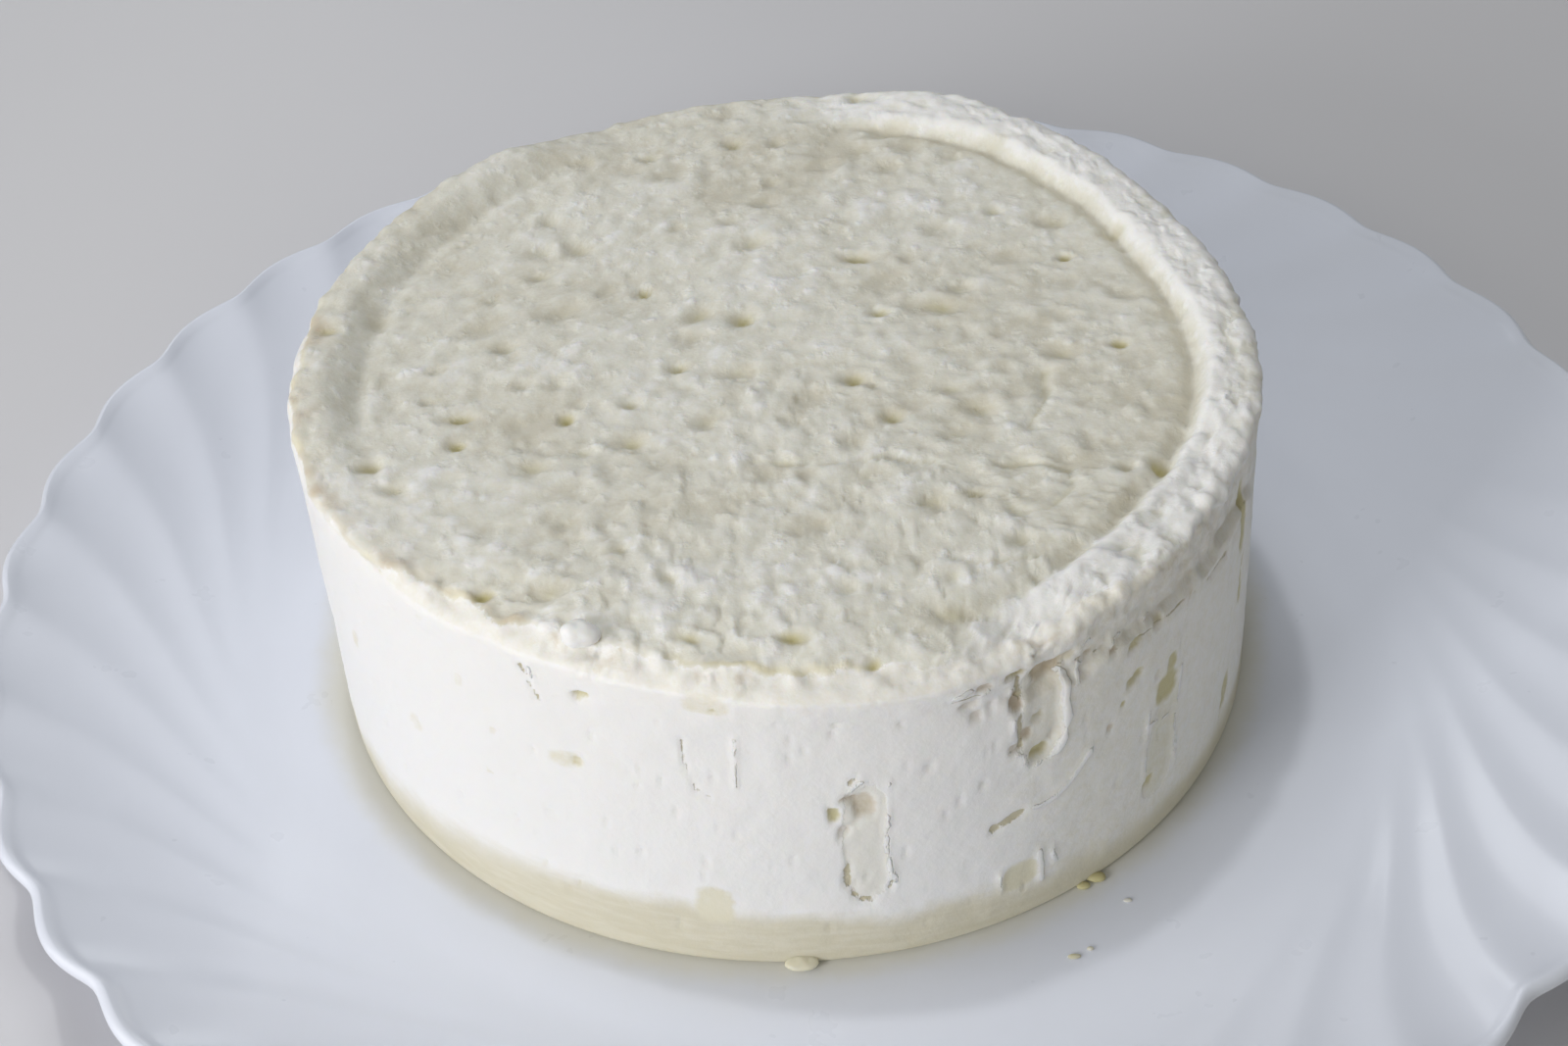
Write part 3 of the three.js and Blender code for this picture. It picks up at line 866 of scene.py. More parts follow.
# The ring stands over the pressed disc, and is worn away at the back and along the front.
def raiseRing(skin):
    c = cheeseShape
    whole = np.ones(len(skin.radius))
    for place in c["wornPlaces"]:
        whole *= 1 - arc(skin.direction, place)
    skin.sloping = skin.arc("slopingRing")
    skin.standing = skin.arc("standingRing")
    wobble = skin.uneven("ring") * (1 - c["slopeCalm"] * skin.sloping)
    skin.ringRadius = skin.radius + wobble - c["slopeDiscWiden"] * skin.sloping
    skin.onRing = smooth(c["discRadius"], c["ringInner"] + c["slopeWiden"] * skin.sloping, skin.ringRadius)
    skin.onWall = 4 * skin.onRing * (1 - skin.onRing) * whole * skin.onTop
    wornSide = (1 - whole) * smooth(c["wornSideLow"], c["height"], skin.height)
    skin.level = skin.height - c["ringStep"] * np.where(skin.onTop, 1 - whole * skin.onRing, wornSide)
    pastDisc = skin.ringRadius - c["discRadius"]
    groove = c["groove"] * (1 - c["slopeGrooveLoss"] * skin.sloping)
    skin.level -= groove * hill(pastDisc, c["grooveWidth"]) * whole * skin.onTop
    lip = hill(pastDisc + c["discLipInside"], c["discLipWidth"]) * skin.sloping * whole * skin.onTop
    skin.discLip = lip * (0.5 + skin.uneven("discLip"))
    skin.level += c["discLipHeight"] * skin.discLip
    # The foot of the ring's wall, where the curd is painted darker and tan as painted shade
    skin.foot = hill(pastDisc + c["footInside"], c["footWidth"]) * whole * skin.onTop


# The right front shoulder sags and leans in above a ragged seam, and the front edges sink.
def sagShoulder(skin):
    c = cheeseShape
    skin.leaning = skin.arc("shoulder")
    seam = c["seam"] + skin.uneven("seam")
    skin.aboveSeam = smooth(seam - c["seamBelow"], seam + c["seamAbove"], skin.height)
    nearEdge = smooth(c["radius"] - c["slumpReach"], c["radius"], skin.radius)
    sag = c["slumpDrop"] * skin.arc("frontSlump") * nearEdge
    sag += c["shoulderSag"] * skin.leaning * smooth(*c["shoulderReach"], skin.radius)
    sag += c["bareEdgeDrop"] * skin.arc("bareEdge") * smooth(*c["bareEdgeReach"], skin.pastCrust)
    skin.level -= sag * smooth(c["seam"], c["height"], skin.height)
    onSide = np.minimum(skin.radius / (c["radius"] - c["baseInside"]), 1)
    outwards = np.where(skin.onTop, smooth(0, c["radius"], skin.radius), onSide)
    inset = c["shoulderInset"] * skin.leaning * skin.aboveSeam
    skin.out = skin.radius + (outOfRound(skin.direction, skin.height) - inset) * outwards


# Curd relief on the crust, and a smoother pressed side
curdForm = {
    "frontY": (-10, -50),
    "frontX": (-70, -20),
    "frontCrumbly": 0.6,
    "ringCrumbly": 0.3,
    "ringMoreCrumbly": 0.5,
    "grains": (2.7, 57),
    "grainRise": (0.4, 0.7),
    "grainHeight": 0.2,
    "smoothGrains": 0.35,
    "wallCalm": 0.7,
    "slopeWallCalm": 0.1,
    "chipDepth": 0.6,
    "chipsElsewhere": 0.5,
    "crumbReach": (5, 1),
    "sideFade": (0, 4),
    # What makes the torn side rough: size, seed, middle, and height at the shoulder and in the crumbs
    "tornBy": ((knobs, 2.4, 33, 0.4, 0.4, 0.6), (flakes, 1.9, 36, 0.5, 0.3, 0.5)),
}


def raiseCurd(skin):
    c = cheeseShape
    f = curdForm
    flat = skin.flat
    skin.front = smooth(*f["frontY"], flat[:, 1]) * smooth(*f["frontX"], -np.abs(flat[:, 0]))
    onStanding = skin.standing * skin.onRing
    crumbly = f["frontCrumbly"] * skin.front
    crumbly += (f["ringCrumbly"] + f["ringMoreCrumbly"] * skin.arc("crumblyRing")) * onStanding
    crumbly = np.clip(np.clip(crumbly, 0, 1) + skin.uneven("crumbly"), 0, 1)
    skin.grains = smooth(*f["grainRise"], knobs(flat, *f["grains"])) * skin.patches("grains")
    skin.grains *= f["smoothGrains"] + (1 - f["smoothGrains"]) * crumbly
    calm = f["wallCalm"] + (f["slopeWallCalm"] - f["wallCalm"]) * skin.sloping
    skin.relief = (curdRelief(flat, crumbly) + f["grainHeight"] * skin.grains) * (1 - calm * skin.onWall)
    chips = skin.patches("chips") * skin.nearEnd
    chips *= f["chipsElsewhere"] + (1 - f["chipsElsewhere"]) * skin.arc("chippedEdge")
    skin.crumbs = skin.crumbled * smooth(*f["crumbReach"], skin.pastCrust) * skin.patches("crumbs")
    torn = skin.leaning * skin.aboveSeam
    side = skin.uneven("side")
    for form, size, seed, middle, atShoulder, inCrumbs in f["tornBy"]:
        side += (atShoulder * torn + inCrumbs * skin.crumbs) * (form(flat, size, seed) - middle)
    skin.push = (skin.relief + c["crustProud"]) * skin.crust
    skin.push += side * smooth(*f["sideFade"], skin.height) * (1 - skin.crust)
    skin.push += (1 + skin.crumbled) * skin.uneven("endRelief") * skin.nearEnd - f["chipDepth"] * chips


# How bright the top's curd is, and what each feature adds to it. The tone from the relief is painted shade in
# the hollows and painted light on the knobs.
toneShares = {
    "plain": 0.52,
    "relief": 0.55,
    "grains": 0.35,
    "front": 0.06,
    "discLip": 0.15,
    "slopingRing": 0.06,
    "standingRing": 0.45,
    "litRingWall": 0.15,
    "litRingWallWidth": 1.5,
    "foot": -0.3,
}

# How strongly the foot of the ring, the shoulder, the ring and the crumbs are tinted: the tan at the ring's
# foot is painted shade, the shoulder's tan and cream are partly painted shade, and the right side's cream is
# painted warm light
stainShares = {
    "ringFootShadeTan": 0.2,
    "shoulderShadeTan": 0.22,
    "ringTan": 0.3,
    "wallTan": 0.08,
    "crumbTan": 0.45,
    "shoulderCream": 0.35,
    "warmLightCream": 0.44,
    "edgeCream": 0.4,
    "edgeLean": (0.15, 0.7),
}


def stainCurd(skin):
    t = toneShares
    s = stainShares
    # Painted light on the standing ring's inner wall, which faces the light
    litRingWall = skin.standing * hill(skin.ringRadius - cheeseShape["ringInner"], t["litRingWallWidth"]) * skin.onTop
    # The curd is painted darker where its relief is low and lighter on its knobs: painted shade and light
    skin.tone = t["plain"] + t["relief"] * skin.relief + skin.uneven("clouds") + t["grains"] * skin.grains
    # The disc's lip is painted lighter: a painted highlight along the edge that catches the light
    skin.tone += t["front"] * skin.front + t["discLip"] * skin.discLip
    skin.tone += t["slopingRing"] * skin.onRing * skin.sloping * skin.onTop
    skin.tone += t["standingRing"] * skin.standing * skin.onRing + t["litRingWall"] * litRingWall
    # Painted shade at the foot of the standing ring's wall
    skin.tone += t["foot"] * skin.foot * skin.standing

    side = 1 - skin.crust
    # The face above the seam that leans in is painted tan and cream: partly its own mottled stains, partly
    # painted shade of a face turned from the light
    shadedShoulder = skin.leaning * skin.aboveSeam * side * (1 + skin.uneven("shadedShoulder"))
    skin.tan += s["ringFootShadeTan"] * skin.foot * skin.standing + s["shoulderShadeTan"] * shadedShoulder
    skin.tan += s["ringTan"] * skin.onRing * skin.onTop * skin.sloping * skin.patches("ringStains")
    skin.tan += s["wallTan"] * skin.onWall * skin.sloping
    skin.tan += s["crumbTan"] * skin.crumbs * side * skin.patches("crumbStains")
    # The right side's cream is painted warm light
    skin.cream = np.maximum(s["shoulderCream"] * shadedShoulder, s["warmLightCream"] * skin.arc("creamSide") * side)
    skin.stain("cream", s["edgeCream"] * side * smooth(*s["edgeLean"], np.sin(skin.lean)))


# Each pit has a low lip round it and a stained bottom, and its middle is painted darker as painted shade.
pitForm = {
    "near": 3,
    "depthShare": 0.75,
    "width": 0.95,
    "lipHeight": 0.12,
    "lipAt": 1.8,
    "lipWidth": 0.45,
    "shade": 0.25,
    "shadeReach": (0.3, 2.0),
    "stainMiddle": 1.15,
    "stainFall": 0.75,
}


def pressPits(skin):
    f = pitForm
    x, y = skin.flat[:, 0], skin.flat[:, 1]
    uneven = skin.uneven("pit")
    for atX, atY, halfLong, halfWide, degrees, depth, stain in topPits + scatteredPits():
        near = np.hypot(x - atX, y - atY) < halfLong * f["near"]
        crust = skin.crust[near]
        reach = ovalReach(x[near] - atX, y[near] - atY, halfLong, halfWide, degrees) + uneven[near]
        skin.push[near] -= f["depthShare"] * depth * hill(np.maximum(reach, 0), f["width"]) * crust
        skin.push[near] += f["lipHeight"] * hill(reach - f["lipAt"], f["lipWidth"]) * crust
        skin.tone[near] -= f["shade"] * (1 - smooth(*f["shadeReach"], reach))
        stained = np.clip(f["stainMiddle"] - reach * f["stainFall"], 0, 1) * stain * crust
        skin.olive[near] = np.maximum(skin.olive[near], stained)


def cutFurrows(skin):
    uneven = skin.uneven("furrow")
    for line in topFurrows:
        reach = np.where(skin.onTop, lineReach(skin.flat[:, 0], skin.flat[:, 1], line), farAway) + uneven
        groove = 1 - smooth(furrow["half"] * furrow["bottomShare"], furrow["half"] + furrow["bank"], reach)
        skin.push -= furrow["depth"] * groove
        skin.stain("olive", furrow["olive"] * groove)


# Slots, marks, cuts and burrs of the side, in millimetres round it and up it. The material draws the edges of
# the slots, cuts and burrs from how far away they are.
markForm = {
    "belowTop": 0.3,
    "rippleUp": 0.6,
    "markFade": (0.6, 1.2),
    "stainEnd": 1.3,
    "stainRise": 2,
    "lineRipple": 0.5,
    "lineGap": 0.5,
    "lineNear": 6,
    "slotFade": (-0.4, 0.3),
    "lineFade": (-0.2, 0.5),
    "burrPlain": 0.8,
}


def pressMarks(skin):
    f = markForm
    ripple = skin.ripple
    for at, up, halfWide, halfHigh, tilt in ribSlots:
        x = skin.roundFrom(at) + ripple
        reach = boxReach(x, skin.height - up + ripple * f["rippleUp"], halfWide, halfHigh, tilt)
        skin.slot = np.where(skin.low, np.minimum(skin.slot, (reach - 1) * halfWide), skin.slot)
    for at, up, halfWide, halfHigh, tilt, pushed, *shares in sideMarks:
        x = skin.roundFrom(at) + ripple
        near = (np.abs(x) < halfWide * 2 + halfHigh) & skin.low
        y = (skin.height - up + ripple * f["rippleUp"])[near]
        reach = boxReach(x[near], y, halfWide, halfHigh, tilt)
        skin.push[near] += pushed * (1 - smooth(*f["markFade"], reach))
        soft = np.clip((f["stainEnd"] - reach) * f["stainRise"], 0, 1)
        for stain, share in zip((skin.olive, skin.tan, skin.cream), shares):
            stain[near] = np.maximum(stain[near], soft * share)


def drawLines(skin):
    f = markForm
    ripple = skin.ripple * f["lineRipple"]
    gaps = f["lineGap"] * skin.patches("brokenLines")
    for field, lines in ((skin.cut, sideCuts), (skin.burr, sideBurrs)):
        for line, halfWide in lines:
            start = line[0][0]
            x = skin.roundFrom(start) + ripple
            flatLine = [(math.radians(at - start) * cheeseShape["radius"], up) for at, up in line]
            end = flatLine[-1][0]
            near = skin.low & (np.abs(x - end / 2) < abs(end) / 2 + f["lineNear"])
            reach = lineReach(x[near], (skin.height + ripple)[near], flatLine) - halfWide + gaps[near]
            field[near] = np.minimum(field[near], reach)


def markSide(skin):
    f = markForm
    skin.ripple = skin.uneven("mark")
    skin.low = skin.height < cheeseShape["height"] - f["belowTop"]
    skin.slot, skin.cut, skin.burr = (np.full(len(skin.radius), noMark) for _ in range(3))
    pressMarks(skin)
    drawLines(skin)
    skin.push -= slotDepth * (1 - smooth(*f["slotFade"], skin.slot)) * (1 - skin.crust)
    skin.push -= cutDepth * (1 - smooth(*f["lineFade"], skin.cut))
    burrShare = f["burrPlain"] + skin.uneven("burr")
    skin.push += burrHeight * (1 - smooth(*f["lineFade"], skin.burr)) * burrShare


def pressPores(skin):
    p = sidePores
    random = np.random.default_rng(p["seed"])
    for at, up, size in zip(*(random.random(p["count"]) for _ in range(3))):
        y = skin.height - p["lowest"] - up * p["span"]
        reach = np.hypot(skin.roundFrom(at * 360), y) / (p["half"] * (p["smallest"] + p["spread"] * size))
        dent = (1 - smooth(*p["fade"], reach)) * skin.low
        skin.push -= p["depth"] * dent
        skin.stain("tan", dent * p["tan"])


# Fainter slots go on round the back, high and low by turns.
def pressFaintSlots(skin):
    f = faintSlots
    for number in range(f["count"]):
        at = f["first"] + number * 360 / f["count"]
        if arc(at, f["clearFront"]) > 0.5 or arc(at, f["bareSide"]) > 0.5:
            continue
        up = f["heights"][number % 2]
        x = (skin.roundFrom(at) + skin.ripple) / f["halfWide"]
        reach = (np.abs(x) ** 3 + np.abs((skin.height - up) / f["halfHigh"]) ** 3) ** (1 / 3)
        pressed = 1 - smooth(*f["fade"], reach)
        skin.push -= f["depth"] * pressed * (1 - skin.crust)
        skin.stain("cream", f["cream"] * pressed)


# The base band sat in whey: it is cream, and stands in a little. Its top is ragged and soft.
bandForm = {
    "soft": 3.8,
    "softRight": 2.4,
    "softLeft": 4.6,
    "rise": 0.6,
    "inset": 0.15,
    "insetFade": (0.3, 0.9),
}


def soakBand(skin):
    f = bandForm
    edge = np.interp(skin.direction, *bandTop) + skin.uneven("band")
    soft = f["soft"] + f["softRight"] * skin.arc("softBandRight") + f["softLeft"] * skin.arc("softBandLeft")
    skin.band = np.where(skin.onTop, 0, np.clip((edge - skin.height) / soft + f["rise"], 0, 1))
    skin.push -= f["inset"] * smooth(*f["insetFade"], skin.band) * skin.base


# A yellow and tan line along the left front, where the crust ends, and an olive one along the front:
# how strong each stain is and how far it reaches into the crust
edgeStains = {
    "leftWay": (58, 63),
    "leftCream": (0.55, 1.5),
    "leftTan": (0.35, 4.2),
    "lineInside": 0.5,
    "lineWidth": 0.7,
    "lineTan": 0.45,
    "lineOlive": 0.42,
    "pinkish": (0.75, 2.4),
    "ledgeWidth": 1.6,
    "ledgeCream": 0.7,
    "ledgeOlive": 0.25,
    "deepest": 9,
}


def stainEdges(skin):
    e = edgeStains
    inCrust = np.clip(-skin.pastCrust, 0, e["deepest"])
    leftEdge = skin.arc("leftEdge") * smooth(*e["leftWay"], skin.way) * skin.crust
    for name, colour in (("leftCream", "cream"), ("leftTan", "tan")):
        strength, width = e[name]
        skin.stain(colour, leftEdge * hill(inCrust, width) * (strength + skin.uneven(name)))
    line = hill(skin.pastCrust + e["lineInside"], e["lineWidth"]) * skin.crust * skin.patches("edgeLine")
    skin.stain("tan", e["lineTan"] * line * skin.arc("leftLine"))
    strength, width = e["pinkish"]
    pinkish = skin.arc("pinkish") * hill(inCrust, width) * skin.crust * skin.patches("pinkish")
    skin.stain("tan", strength * pinkish)
    skin.stain("olive", e["lineOlive"] * line * skin.arc("frontLine"))
    ledge = skin.arc("frontLedge") * hill(inCrust, e["ledgeWidth"]) * skin.crust
    skin.stain("cream", e["ledgeCream"] * ledge)
    skin.stain("olive", e["ledgeOlive"] * ledge)


def shapeCheese(cheese):
    c = cheeseShape
    skin = laySkin(readPlaces(cheese.data))
    for step in (endCrust, raiseRing, sagShoulder, raiseCurd, stainCurd, pressPits, cutFurrows):
        step(skin)
    for step in (markSide, pressPores, pressFaintSlots, soakBand, stainEdges):
        step(skin)
    push = skin.push * skin.base
    out = skin.out + push * np.cos(skin.lean)
    # The pressed disc lies a little off the middle.
    atEdge = smooth(c["ringInner"], c["radius"] - c["topEdge"], skin.radius)
    shift = np.where(skin.onTop, np.minimum(skin.radius / c["discRadius"], 1) * (1 - atEdge), 0)
    places = np.stack([
        out * np.cos(skin.angle) + c["discShift"][0] * shift,
        out * np.sin(skin.angle) + c["discShift"][1] * shift,
        skin.level + push * np.sin(skin.lean) * (skin.lean > 0),
    ], axis=1)
    writePlaces(cheese.data, places + (*c["middle"], c["base"]))
    writeFields(cheese.data, {
        "olive": skin.olive,
        "tan": skin.tan,
        "cream": skin.cream,
        "tone": np.clip(skin.tone, 0, 1),
        "band": skin.band,
        "crust": 1 - smooth(-c["crustColourSoft"], c["crustColourSoft"], skin.pastCrust),
        "slot": skin.slot,
        "cut": skin.cut,
        "burr": skin.burr,
    })


def makeCheese():
    bm = gridAndSide(len(drumRows()))
    cheese = pieceFrom(bm, "pressedCurd")
    shapeCheese(cheese)
    triangles = sum(len(face.vertices) - 2 for face in cheese.data.polygons)
    print("cheese shaped:", triangles, "triangles")
    return cheese


cheese = makeCheese()
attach(cheese, "root")
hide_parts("cheese")

# Loose bits of curd: x and y from the cheese's middle, half sizes along X, Y and Z, how cream and olive
# each one is, and whether it lies on the cheese. The one on the cheese is white.
looseBits = {
    "curdLump": (-26.4, -56.6, 2.2, 1.9, 1.6, 0, 0, True),
    "footCrumb": (-1.1, -69.3, 2.3, 1.3, 0.8, 0.9, 0.25, False),
    "yellowCrumb": (39.4, -57.0, 1.5, 0.9, 0.5, 0.5, 0.9, False),
    "oliveCrumb": (37.6, -58.4, 0.9, 0.6, 0.35, 0.4, 1.0, False),
    "paleFleck": (43.3, -61.4, 0.6, 0.35, 0.2, 0.5, 0, False),
    "looseCrumb": (34.8, -70.6, 0.9, 0.4, 0.25, 0.3, 0.7, False),
    "smallCrumb": (37.2, -69.4, 0.4, 0.3, 0.2, 0.3, 0.5, False),
}
bitForm = {
    "ballSubdivisions": 5,
    "swell": ((0.3, 2.4, 150), (0.1, 1.1, 152)),
    "apart": 20,
    "sunkInCheese": 0.6,
    "sunkInPlate": 0.05,
    "middleHeight": 0.85,
    "near": 1.2,
}


# The cheese's surface under a bit: the highest vertex close to it.
def cheeseLevel(x, y):
    places = readPlaces(cheese.data) / metre
    close = np.hypot(places[:, 0] - x, places[:, 1] - y) < bitForm["near"]
    return places[close, 2].max()


def makeLooseBits():
    bits = []
    for number, (name, row) in enumerate(looseBits.items()):
        cream, olive, onCheese = row[5:]
        x, y = row[0] + cheeseShape["middle"][0], row[1] + cheeseShape["middle"][1]
        half = np.array(row[2:5])
        bm = bmesh.new()
        bmesh.ops.create_icosphere(bm, subdivisions=bitForm["ballSubdivisions"], radius=1)
        bit = pieceFrom(bm, name)
        ball = readPlaces(bit.data)
        swell = 1 + manyLumps(ball * half + bitForm["apart"] * number, bitForm["swell"])
        if onCheese:
            level = cheeseLevel(x, y) - bitForm["sunkInCheese"]
        else:
            level = plateShape["wellLevel"] - bitForm["sunkInPlate"]
        middle = (x, y, level + half[2] * bitForm["middleHeight"])
        writePlaces(bit.data, ball * half * swell[:, None] + middle)
        burr = onBurr if onCheese else noMark
        writeFields(bit.data, {"cream": cream, "olive": olive, "slot": noMark, "cut": noMark, "burr": burr})
        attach(bit, "root")
        bits.append(bit)
    print("loose bits made:", len(bits))
    return bits


bits = makeLooseBits()


# A link in a material's node tree. Expressions on links add Math nodes.
class Link:
    def __init__(self, tree, socket=None):
        self.tree = tree
        self.socket = socket

    # Any node: its type, its settings, which are set first, and the values or links of its sockets.
    def node(self, kind, settings=None, values=None, output=0):
        made = self.tree.nodes.new("ShaderNode" + kind)
        for name, value in (settings or {}).items():
            setattr(made, name, value)
        for name, value in (values or {}).items():
            if isinstance(value, Link):
                self.tree.links.new(value.socket, made.inputs[name])
            else:
                made.inputs[name].default_value = value
        return Link(self.tree, made.outputs[output] if made.outputs else None)

    def maths(self, operation, first, second):
        return self.node("Math", {"operation": operation}, {0: first, 1: second})

    def __add__(self, other):
        return self.maths("ADD", self, other)

    __radd__ = __add__

    def __sub__(self, other):
        return self.maths("SUBTRACT", self, other)

    def __rsub__(self, other):
        return self.maths("SUBTRACT", other, self)

    def __mul__(self, other):
        return self.maths("MULTIPLY", self, other)

    __rmul__ = __mul__

    # From 0 to 1 as this goes from low to high.
    def between(self, low, high):
        return self.node("MapRange", {"interpolation_type": "SMOOTHSTEP"}, {0: self, 1: low, 2: high})

    def mixed(self, first, second):
        return self.node("Mix", {"data_type": "RGBA"}, {0: self, 6: first, 7: second}, 2)

    def noise(self, place, size, detail=2, roughness=0.5):
        values = {"Vector": place, "Scale": 1 / (size * metre), "Detail": detail, "Roughness": roughness}
        return self.node("TexNoise", {}, values)

    def attribute(self, name):
        return self.node("Attribute", {"attribute_name": name}, {}, 2)


def newMaterial(name):
    material = bpy.data.materials.new(name)
    material.use_nodes = True
    tree = material.node_tree
    tree.nodes.clear()
    return material, Link(tree)


def finishMaterial(tree, shader):
    tree.node("OutputMaterial", {}, {"Surface": shader})


curdFinish = {
    "sideWhite": (0.94, 0.935, 0.925, 1),
    # The top runs from topLow to topBright with its tone, so topLow also carries the painted shade of
    # hollows, pits and the ring's foot
    "topLow": (0.69, 0.66, 0.555, 1),
    "topWhite": (0.82, 0.81, 0.73, 1),
    "topBright": (0.93, 0.93, 0.92, 1),
    "slot": (0.86, 0.845, 0.775, 1),
    "olive": (0.56, 0.50, 0.22, 1),
    "tan": (0.58, 0.48, 0.35, 1),
    "cut": (0.56, 0.50, 0.31, 1),
    "cream": (0.81, 0.77, 0.61, 1),
    # The band's cream is darker than the cheese's cream: partly the whey's stain, partly painted shade where
    # the cheese stands on the plate
    "band": (0.77, 0.735, 0.61, 1),
    "streak": (0.72, 0.68, 0.54, 1),
    "burr": (0.95, 0.95, 0.94, 1),
    "roughness": 0.5,
    "roughnessSpread": 0.2,
    "glow": 0.25,
    "glowColour": (1.0, 0.8, 0.55),
    "glowDepth": 0.0022,
    "gloss": 0.4,
}

# The curd's noises: size, detail and roughness
curdNoises = {"blotch": (5.5, 3, 0.6), "fine": (1.6, 3, 0.62), "grit": (0.55, 2, 0.6), "streaky": (6, 3, 0.6)}

# How the noises break up the curd's edges, tone and grains
curdPattern = {
    "edgeFine": 0.55,
    "edgeGrit": 0.3,
    "streakPress": (1, 1, 6),
    "grainSize": 2.4,
    "grainSweep": (0.003, -0.0025, 0.002),
    "grainEdge": (0.05, 0.52),
    "grainFine": 0.7,
    "grainPatches": (0.68, 1.0),
    "grainsElsewhere": 0.25,
    "crustRagged": 1.6,
    "crustRise": (0.38, 0.62),
    "toneBlotch": 0.55,
    "toneEdges": 0.8,
    "toneGrains": 0.18,
    "grainsMean": 0.25,
    "toWhite": (0.1, 0.6),
    "toBright": (0.5, 0.95),
    "bandRagged": 0.3,
    "bandStreaks": 0.5,
    "bandRise": (0.05, 0.95),
    "streakRise": (0.35, 0.7),
}

# Stains, slots, cuts and burrs: how ragged their edges are, the values that they start and end at, and how
# strong their colour is
curdMarks = {
    "slot": (1.2, -0.15, 0.15, 0.75),
    "cream": (0.6, 0.2, 0.75, 0.9),
    "tan": (0.6, 0.1, 0.9, 0.8),
    "olive": (0.5, 0.1, 0.95, 0.85),
    "cut": (1.3, -0.12, 0.2, 0.8),
    "burr": (1.1, -0.1, 0.15, 0.9),
}

# Height of the curd's bumps in millimetres
curdBumps = {"fine": 0.08, "grit": 0.03, "grains": 0.13, "burr": 0.22, "cut": 0.18, "slot": 0.06}


# These are told by how far away their edge is, so they lie where the value is low.
edgedMarks = ("slot", "cut", "burr")


# A mark of the curd: its mask, and the colour under it with the mark's own laid over it
def curdMark(tree, edges, name, under):
    ragged, low, high, strength = curdMarks[name]
    mask = (tree.attribute(name) + ragged * edges).between(low, high)
    if name in edgedMarks:
        mask = 1 - mask
    return mask, (strength * mask).mixed(under, curdFinish[name])


def curdMaterial():
    f = curdFinish
    p = curdPattern
    material, tree = newMaterial("goatCurd")
    place = tree.node("TexCoord", {}, {}, 3)
    blotch = tree.noise(place, *curdNoises["blotch"])
    fine = tree.noise(place, *curdNoises["fine"])
    grit = tree.noise(place, *curdNoises["grit"])
    edges = p["edgeFine"] * (fine - 0.5) + p["edgeGrit"] * (grit - 0.5)
    # Soft grains of curd, 1 in their middles. They show in patches.
    swept = tree.node("VectorMath", {"operation": "MULTIPLY_ADD"}, {0: blotch, 1: p["grainSweep"], 2: place})
    cells = tree.node("TexVoronoi", {}, {"Vector": swept, "Scale": 1 / (p["grainSize"] * metre)})
    grains = 1 - cells.between(*p["grainEdge"])
    patches = (blotch + p["grainFine"] * fine).between(*p["grainPatches"])
    grains = grains * (p["grainsElsewhere"] + (1 - p["grainsElsewhere"]) * patches)
    crust = (tree.attribute("crust") + p["crustRagged"] * edges).between(*p["crustRise"])
    tone = tree.attribute("tone") + p["toneBlotch"] * (blotch - 0.5) + p["toneEdges"] * edges
    tone = tone + p["toneGrains"] * (grains - p["grainsMean"])
    topBase = tone.between(*p["toWhite"]).mixed(f["topLow"], f["topWhite"])
    topBase = tone.between(*p["toBright"]).mixed(topBase, f["topBright"])
    slot, side = curdMark(tree, edges, "slot", f["sideWhite"])
    base = crust.mixed(side, topBase)
    pressed = tree.node("VectorMath", {"operation": "MULTIPLY"}, {0: place, 1: p["streakPress"]})
    streaky = tree.noise(pressed, *curdNoises["streaky"])
    band = tree.attribute("band") + edges * p["bandRagged"] + p["bandStreaks"] * (streaky - 0.5)
    band = band.between(*p["bandRise"])
    streaks = streaky.between(*p["streakRise"]).mixed(f["streak"], f["band"])
    base = band.mixed(base, streaks)
    for stain in ("cream", "tan", "olive"):
        base = curdMark(tree, edges, stain, base)[1]
    cut, base = curdMark(tree, edges, "cut", base)
    burr, base = curdMark(tree, edges, "burr", base)
    b = curdBumps
    bumps = b["fine"] * fine + b["grit"] * grit + b["grains"] * grains * crust + b["burr"] * burr
    bumps = bumps - b["cut"] * cut - b["slot"] * slot * (1 - crust)
    normal = tree.node("Bump", {}, {"Strength": 1.0, "Distance": metre, "Height": bumps})
    rough = f["roughness"] + f["roughnessSpread"] * (fine - 0.5)
    shader = tree.node("BsdfPrincipled", {"subsurface_method": "RANDOM_WALK"}, {
        "Base Color": base,
        "Roughness": rough,
        "Normal": normal,
        "Subsurface Weight": f["glow"],
        "Subsurface Radius": f["glowColour"],
        "Subsurface Scale": f["glowDepth"],
        "Specular IOR Level": f["gloss"],
    })
    finishMaterial(tree, shader)
    return material


glazeFinish = {
    # The glass is bluish: partly its own tint, partly a painted reflection of bluish window light
    "glass": (0.81, 0.85, 0.955, 1),
    "thin": (0.83, 0.87, 0.975, 1),
    "wheyAndShade": (0.76, 0.76, 0.72, 1),
    "wheyShadeReach": (68.2, 74.0),
    "wheyShadeRagged": 0.003,
    "roughness": 0.28,
    "smearRoughness": 0.07,
    "smearMean": 0.4,
    "clouds": (38, 2),
    "cloudRise": (0.3, 0.7),
    "smears": (7, 3, 0.6),
    "waves": (9, 1),
    "waveStrength": 0.12,
    "waveHeight": 0.0006,
    "coat": 0.3,
    "coatRoughness": 0.12,
}


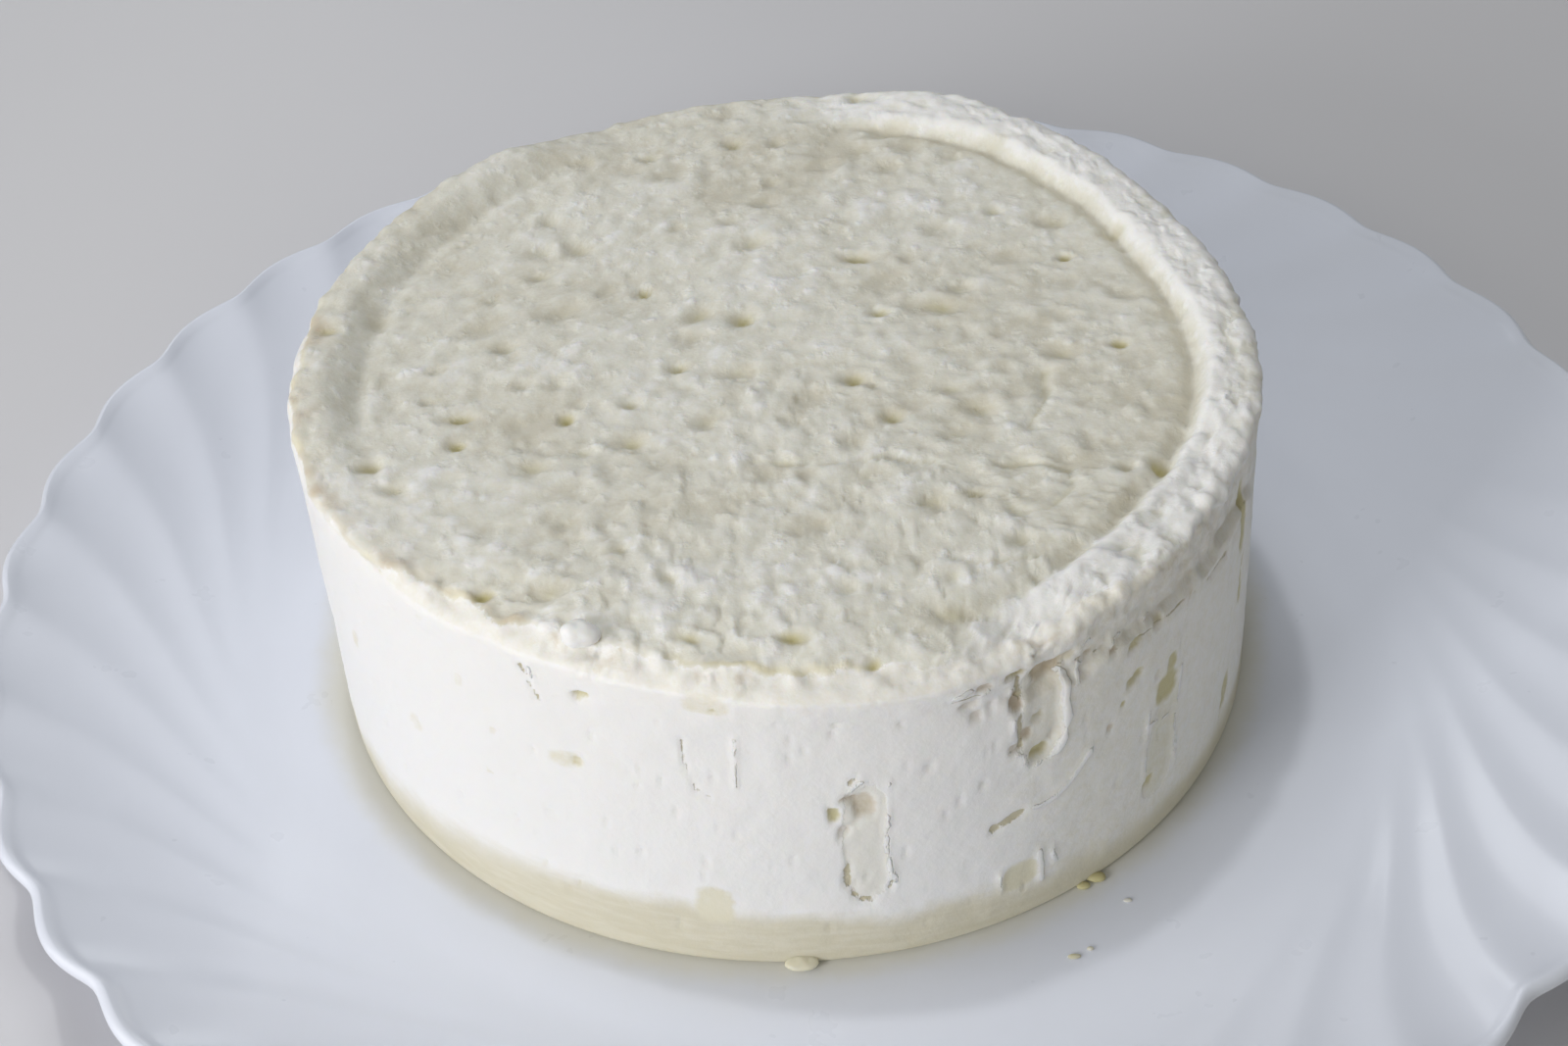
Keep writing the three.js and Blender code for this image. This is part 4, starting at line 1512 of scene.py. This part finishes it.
def glassMaterial():
    f = glazeFinish
    material, tree = newMaterial("opalGlass")
    place = tree.node("TexCoord", {}, {}, 3)
    cloud = tree.noise(place, *f["clouds"])
    smear = tree.noise(place, *f["smears"])
    base = cloud.between(*f["cloudRise"]).mixed(f["glass"], f["thin"])
    # Painted contact shade darkens and yellows the glass round the foot of the cheese, with the cream light
    # that the cheese throws back; part of it is a thin film of whey.
    x, y = (axis * metre for axis in cheeseShape["middle"])
    flat = tree.node("VectorMath", {"operation": "MULTIPLY"}, {0: place, 1: (1, 1, 0)})
    fromMiddle = tree.node("VectorMath", {"operation": "DISTANCE"}, {0: flat, 1: (x, y, 0)}, 1)
    near, far = (reach * metre for reach in f["wheyShadeReach"])
    wheyShade = 1 - (fromMiddle + f["wheyShadeRagged"] * (smear - 0.5)).between(near, far)
    base = wheyShade.mixed(base, f["wheyAndShade"])
    rough = f["roughness"] + f["smearRoughness"] * (smear - f["smearMean"])
    wavy = tree.noise(place, *f["waves"])
    bump = {"Strength": f["waveStrength"], "Distance": f["waveHeight"], "Height": wavy}
    normal = tree.node("Bump", {}, bump)
    shader = tree.node("BsdfPrincipled", {}, {
        "Base Color": base,
        "Roughness": rough,
        "Normal": normal,
        "Coat Weight": f["coat"],
        "Coat Roughness": f["coatRoughness"],
    })
    finishMaterial(tree, shader)
    return material


curd = curdMaterial()
for piece in (cheese, *bits):
    piece.data.materials.append(curd)
plate.data.materials.append(glassMaterial())
print("materials made")

floorFinish = {
    "colour": (0.72, 0.72, 0.75, 1),
    "lighter": 1.05,
    "clouds": (90, 3),
    "size": 6,
    "roughness": 0.5,
}


def makeFloor():
    bm = bmesh.new()
    f = floorFinish
    bmesh.ops.create_grid(bm, x_segments=1, y_segments=1, size=f["size"] / metre / 2)
    floor = pieceFrom(bm, "tableTop")
    writePlaces(floor.data, readPlaces(floor.data))
    material, tree = newMaterial("tableTop")
    place = tree.node("TexCoord", {}, {}, 3)
    cloud = tree.noise(place, *f["clouds"])
    lighter = (*(min(1, part * f["lighter"]) for part in f["colour"][:3]), 1)
    base = cloud.mixed(f["colour"], lighter)
    shader = tree.node("BsdfPrincipled", {}, {"Base Color": base, "Roughness": f["roughness"]})
    finishMaterial(tree, shader)
    floor.data.materials.append(material)


makeFloor()

# Soft lights: direction round, elevation, distance, width, height, power and colour
lights = {
    "frontWindow": (-137, 21.5, 900, 280, 270, 2.95, (1.0, 0.99, 0.98)),
    "leftWindow": (-165, 20, 900, 600, 600, 1.82, (1.0, 0.97, 0.94)),
    "ceiling": (100, 81, 900, 420, 300, 1.75, (0.97, 0.99, 1.0)),
    "ceilingLamp": (128, 80.7, 900, 45, 45, 0.92, (1.0, 0.99, 0.97)),
    "backWindow": (106, 26, 900, 420, 240, 0.8, (0.94, 0.97, 1.0)),
    "right": (-60, 25, 900, 500, 500, 0.5, (1.0, 0.96, 0.78)),
    "frontFill": (-95, 28, 900, 500, 400, 0.75, (1.0, 0.97, 0.88)),
}
worldLight = {"colour": (1.0, 1.0, 1.0, 1), "strength": 0.06}


def makeLights():
    for name, (direction, elevation, distance, width, height, power, colour) in lights.items():
        data = bpy.data.lights.new(name, "AREA")
        data.shape = "RECTANGLE"
        data.size = width * metre
        data.size_y = height * metre
        data.energy = power
        data.color = colour
        angle, up = math.radians(direction), math.radians(elevation)
        away = Vector((math.cos(angle) * math.cos(up), math.sin(angle) * math.cos(up), math.sin(up)))
        light = bpy.data.objects.new(name, data)
        light.location = away * distance * metre
        light.rotation_euler = away.to_track_quat("Z", "Y").to_euler()
        light.visible_glossy = not name.startswith("ceiling")  # The ceiling makes no highlights.
        bpy.context.scene.collection.objects.link(light)
    world = bpy.data.worlds.new("studio")
    world.use_nodes = True
    background = world.node_tree.nodes["Background"]
    background.inputs["Color"].default_value = worldLight["colour"]
    background.inputs["Strength"].default_value = worldLight["strength"]
    bpy.context.scene.world = world
    print("lights placed")


makeLights()
bpy.context.scene.view_settings.view_transform = "Standard"
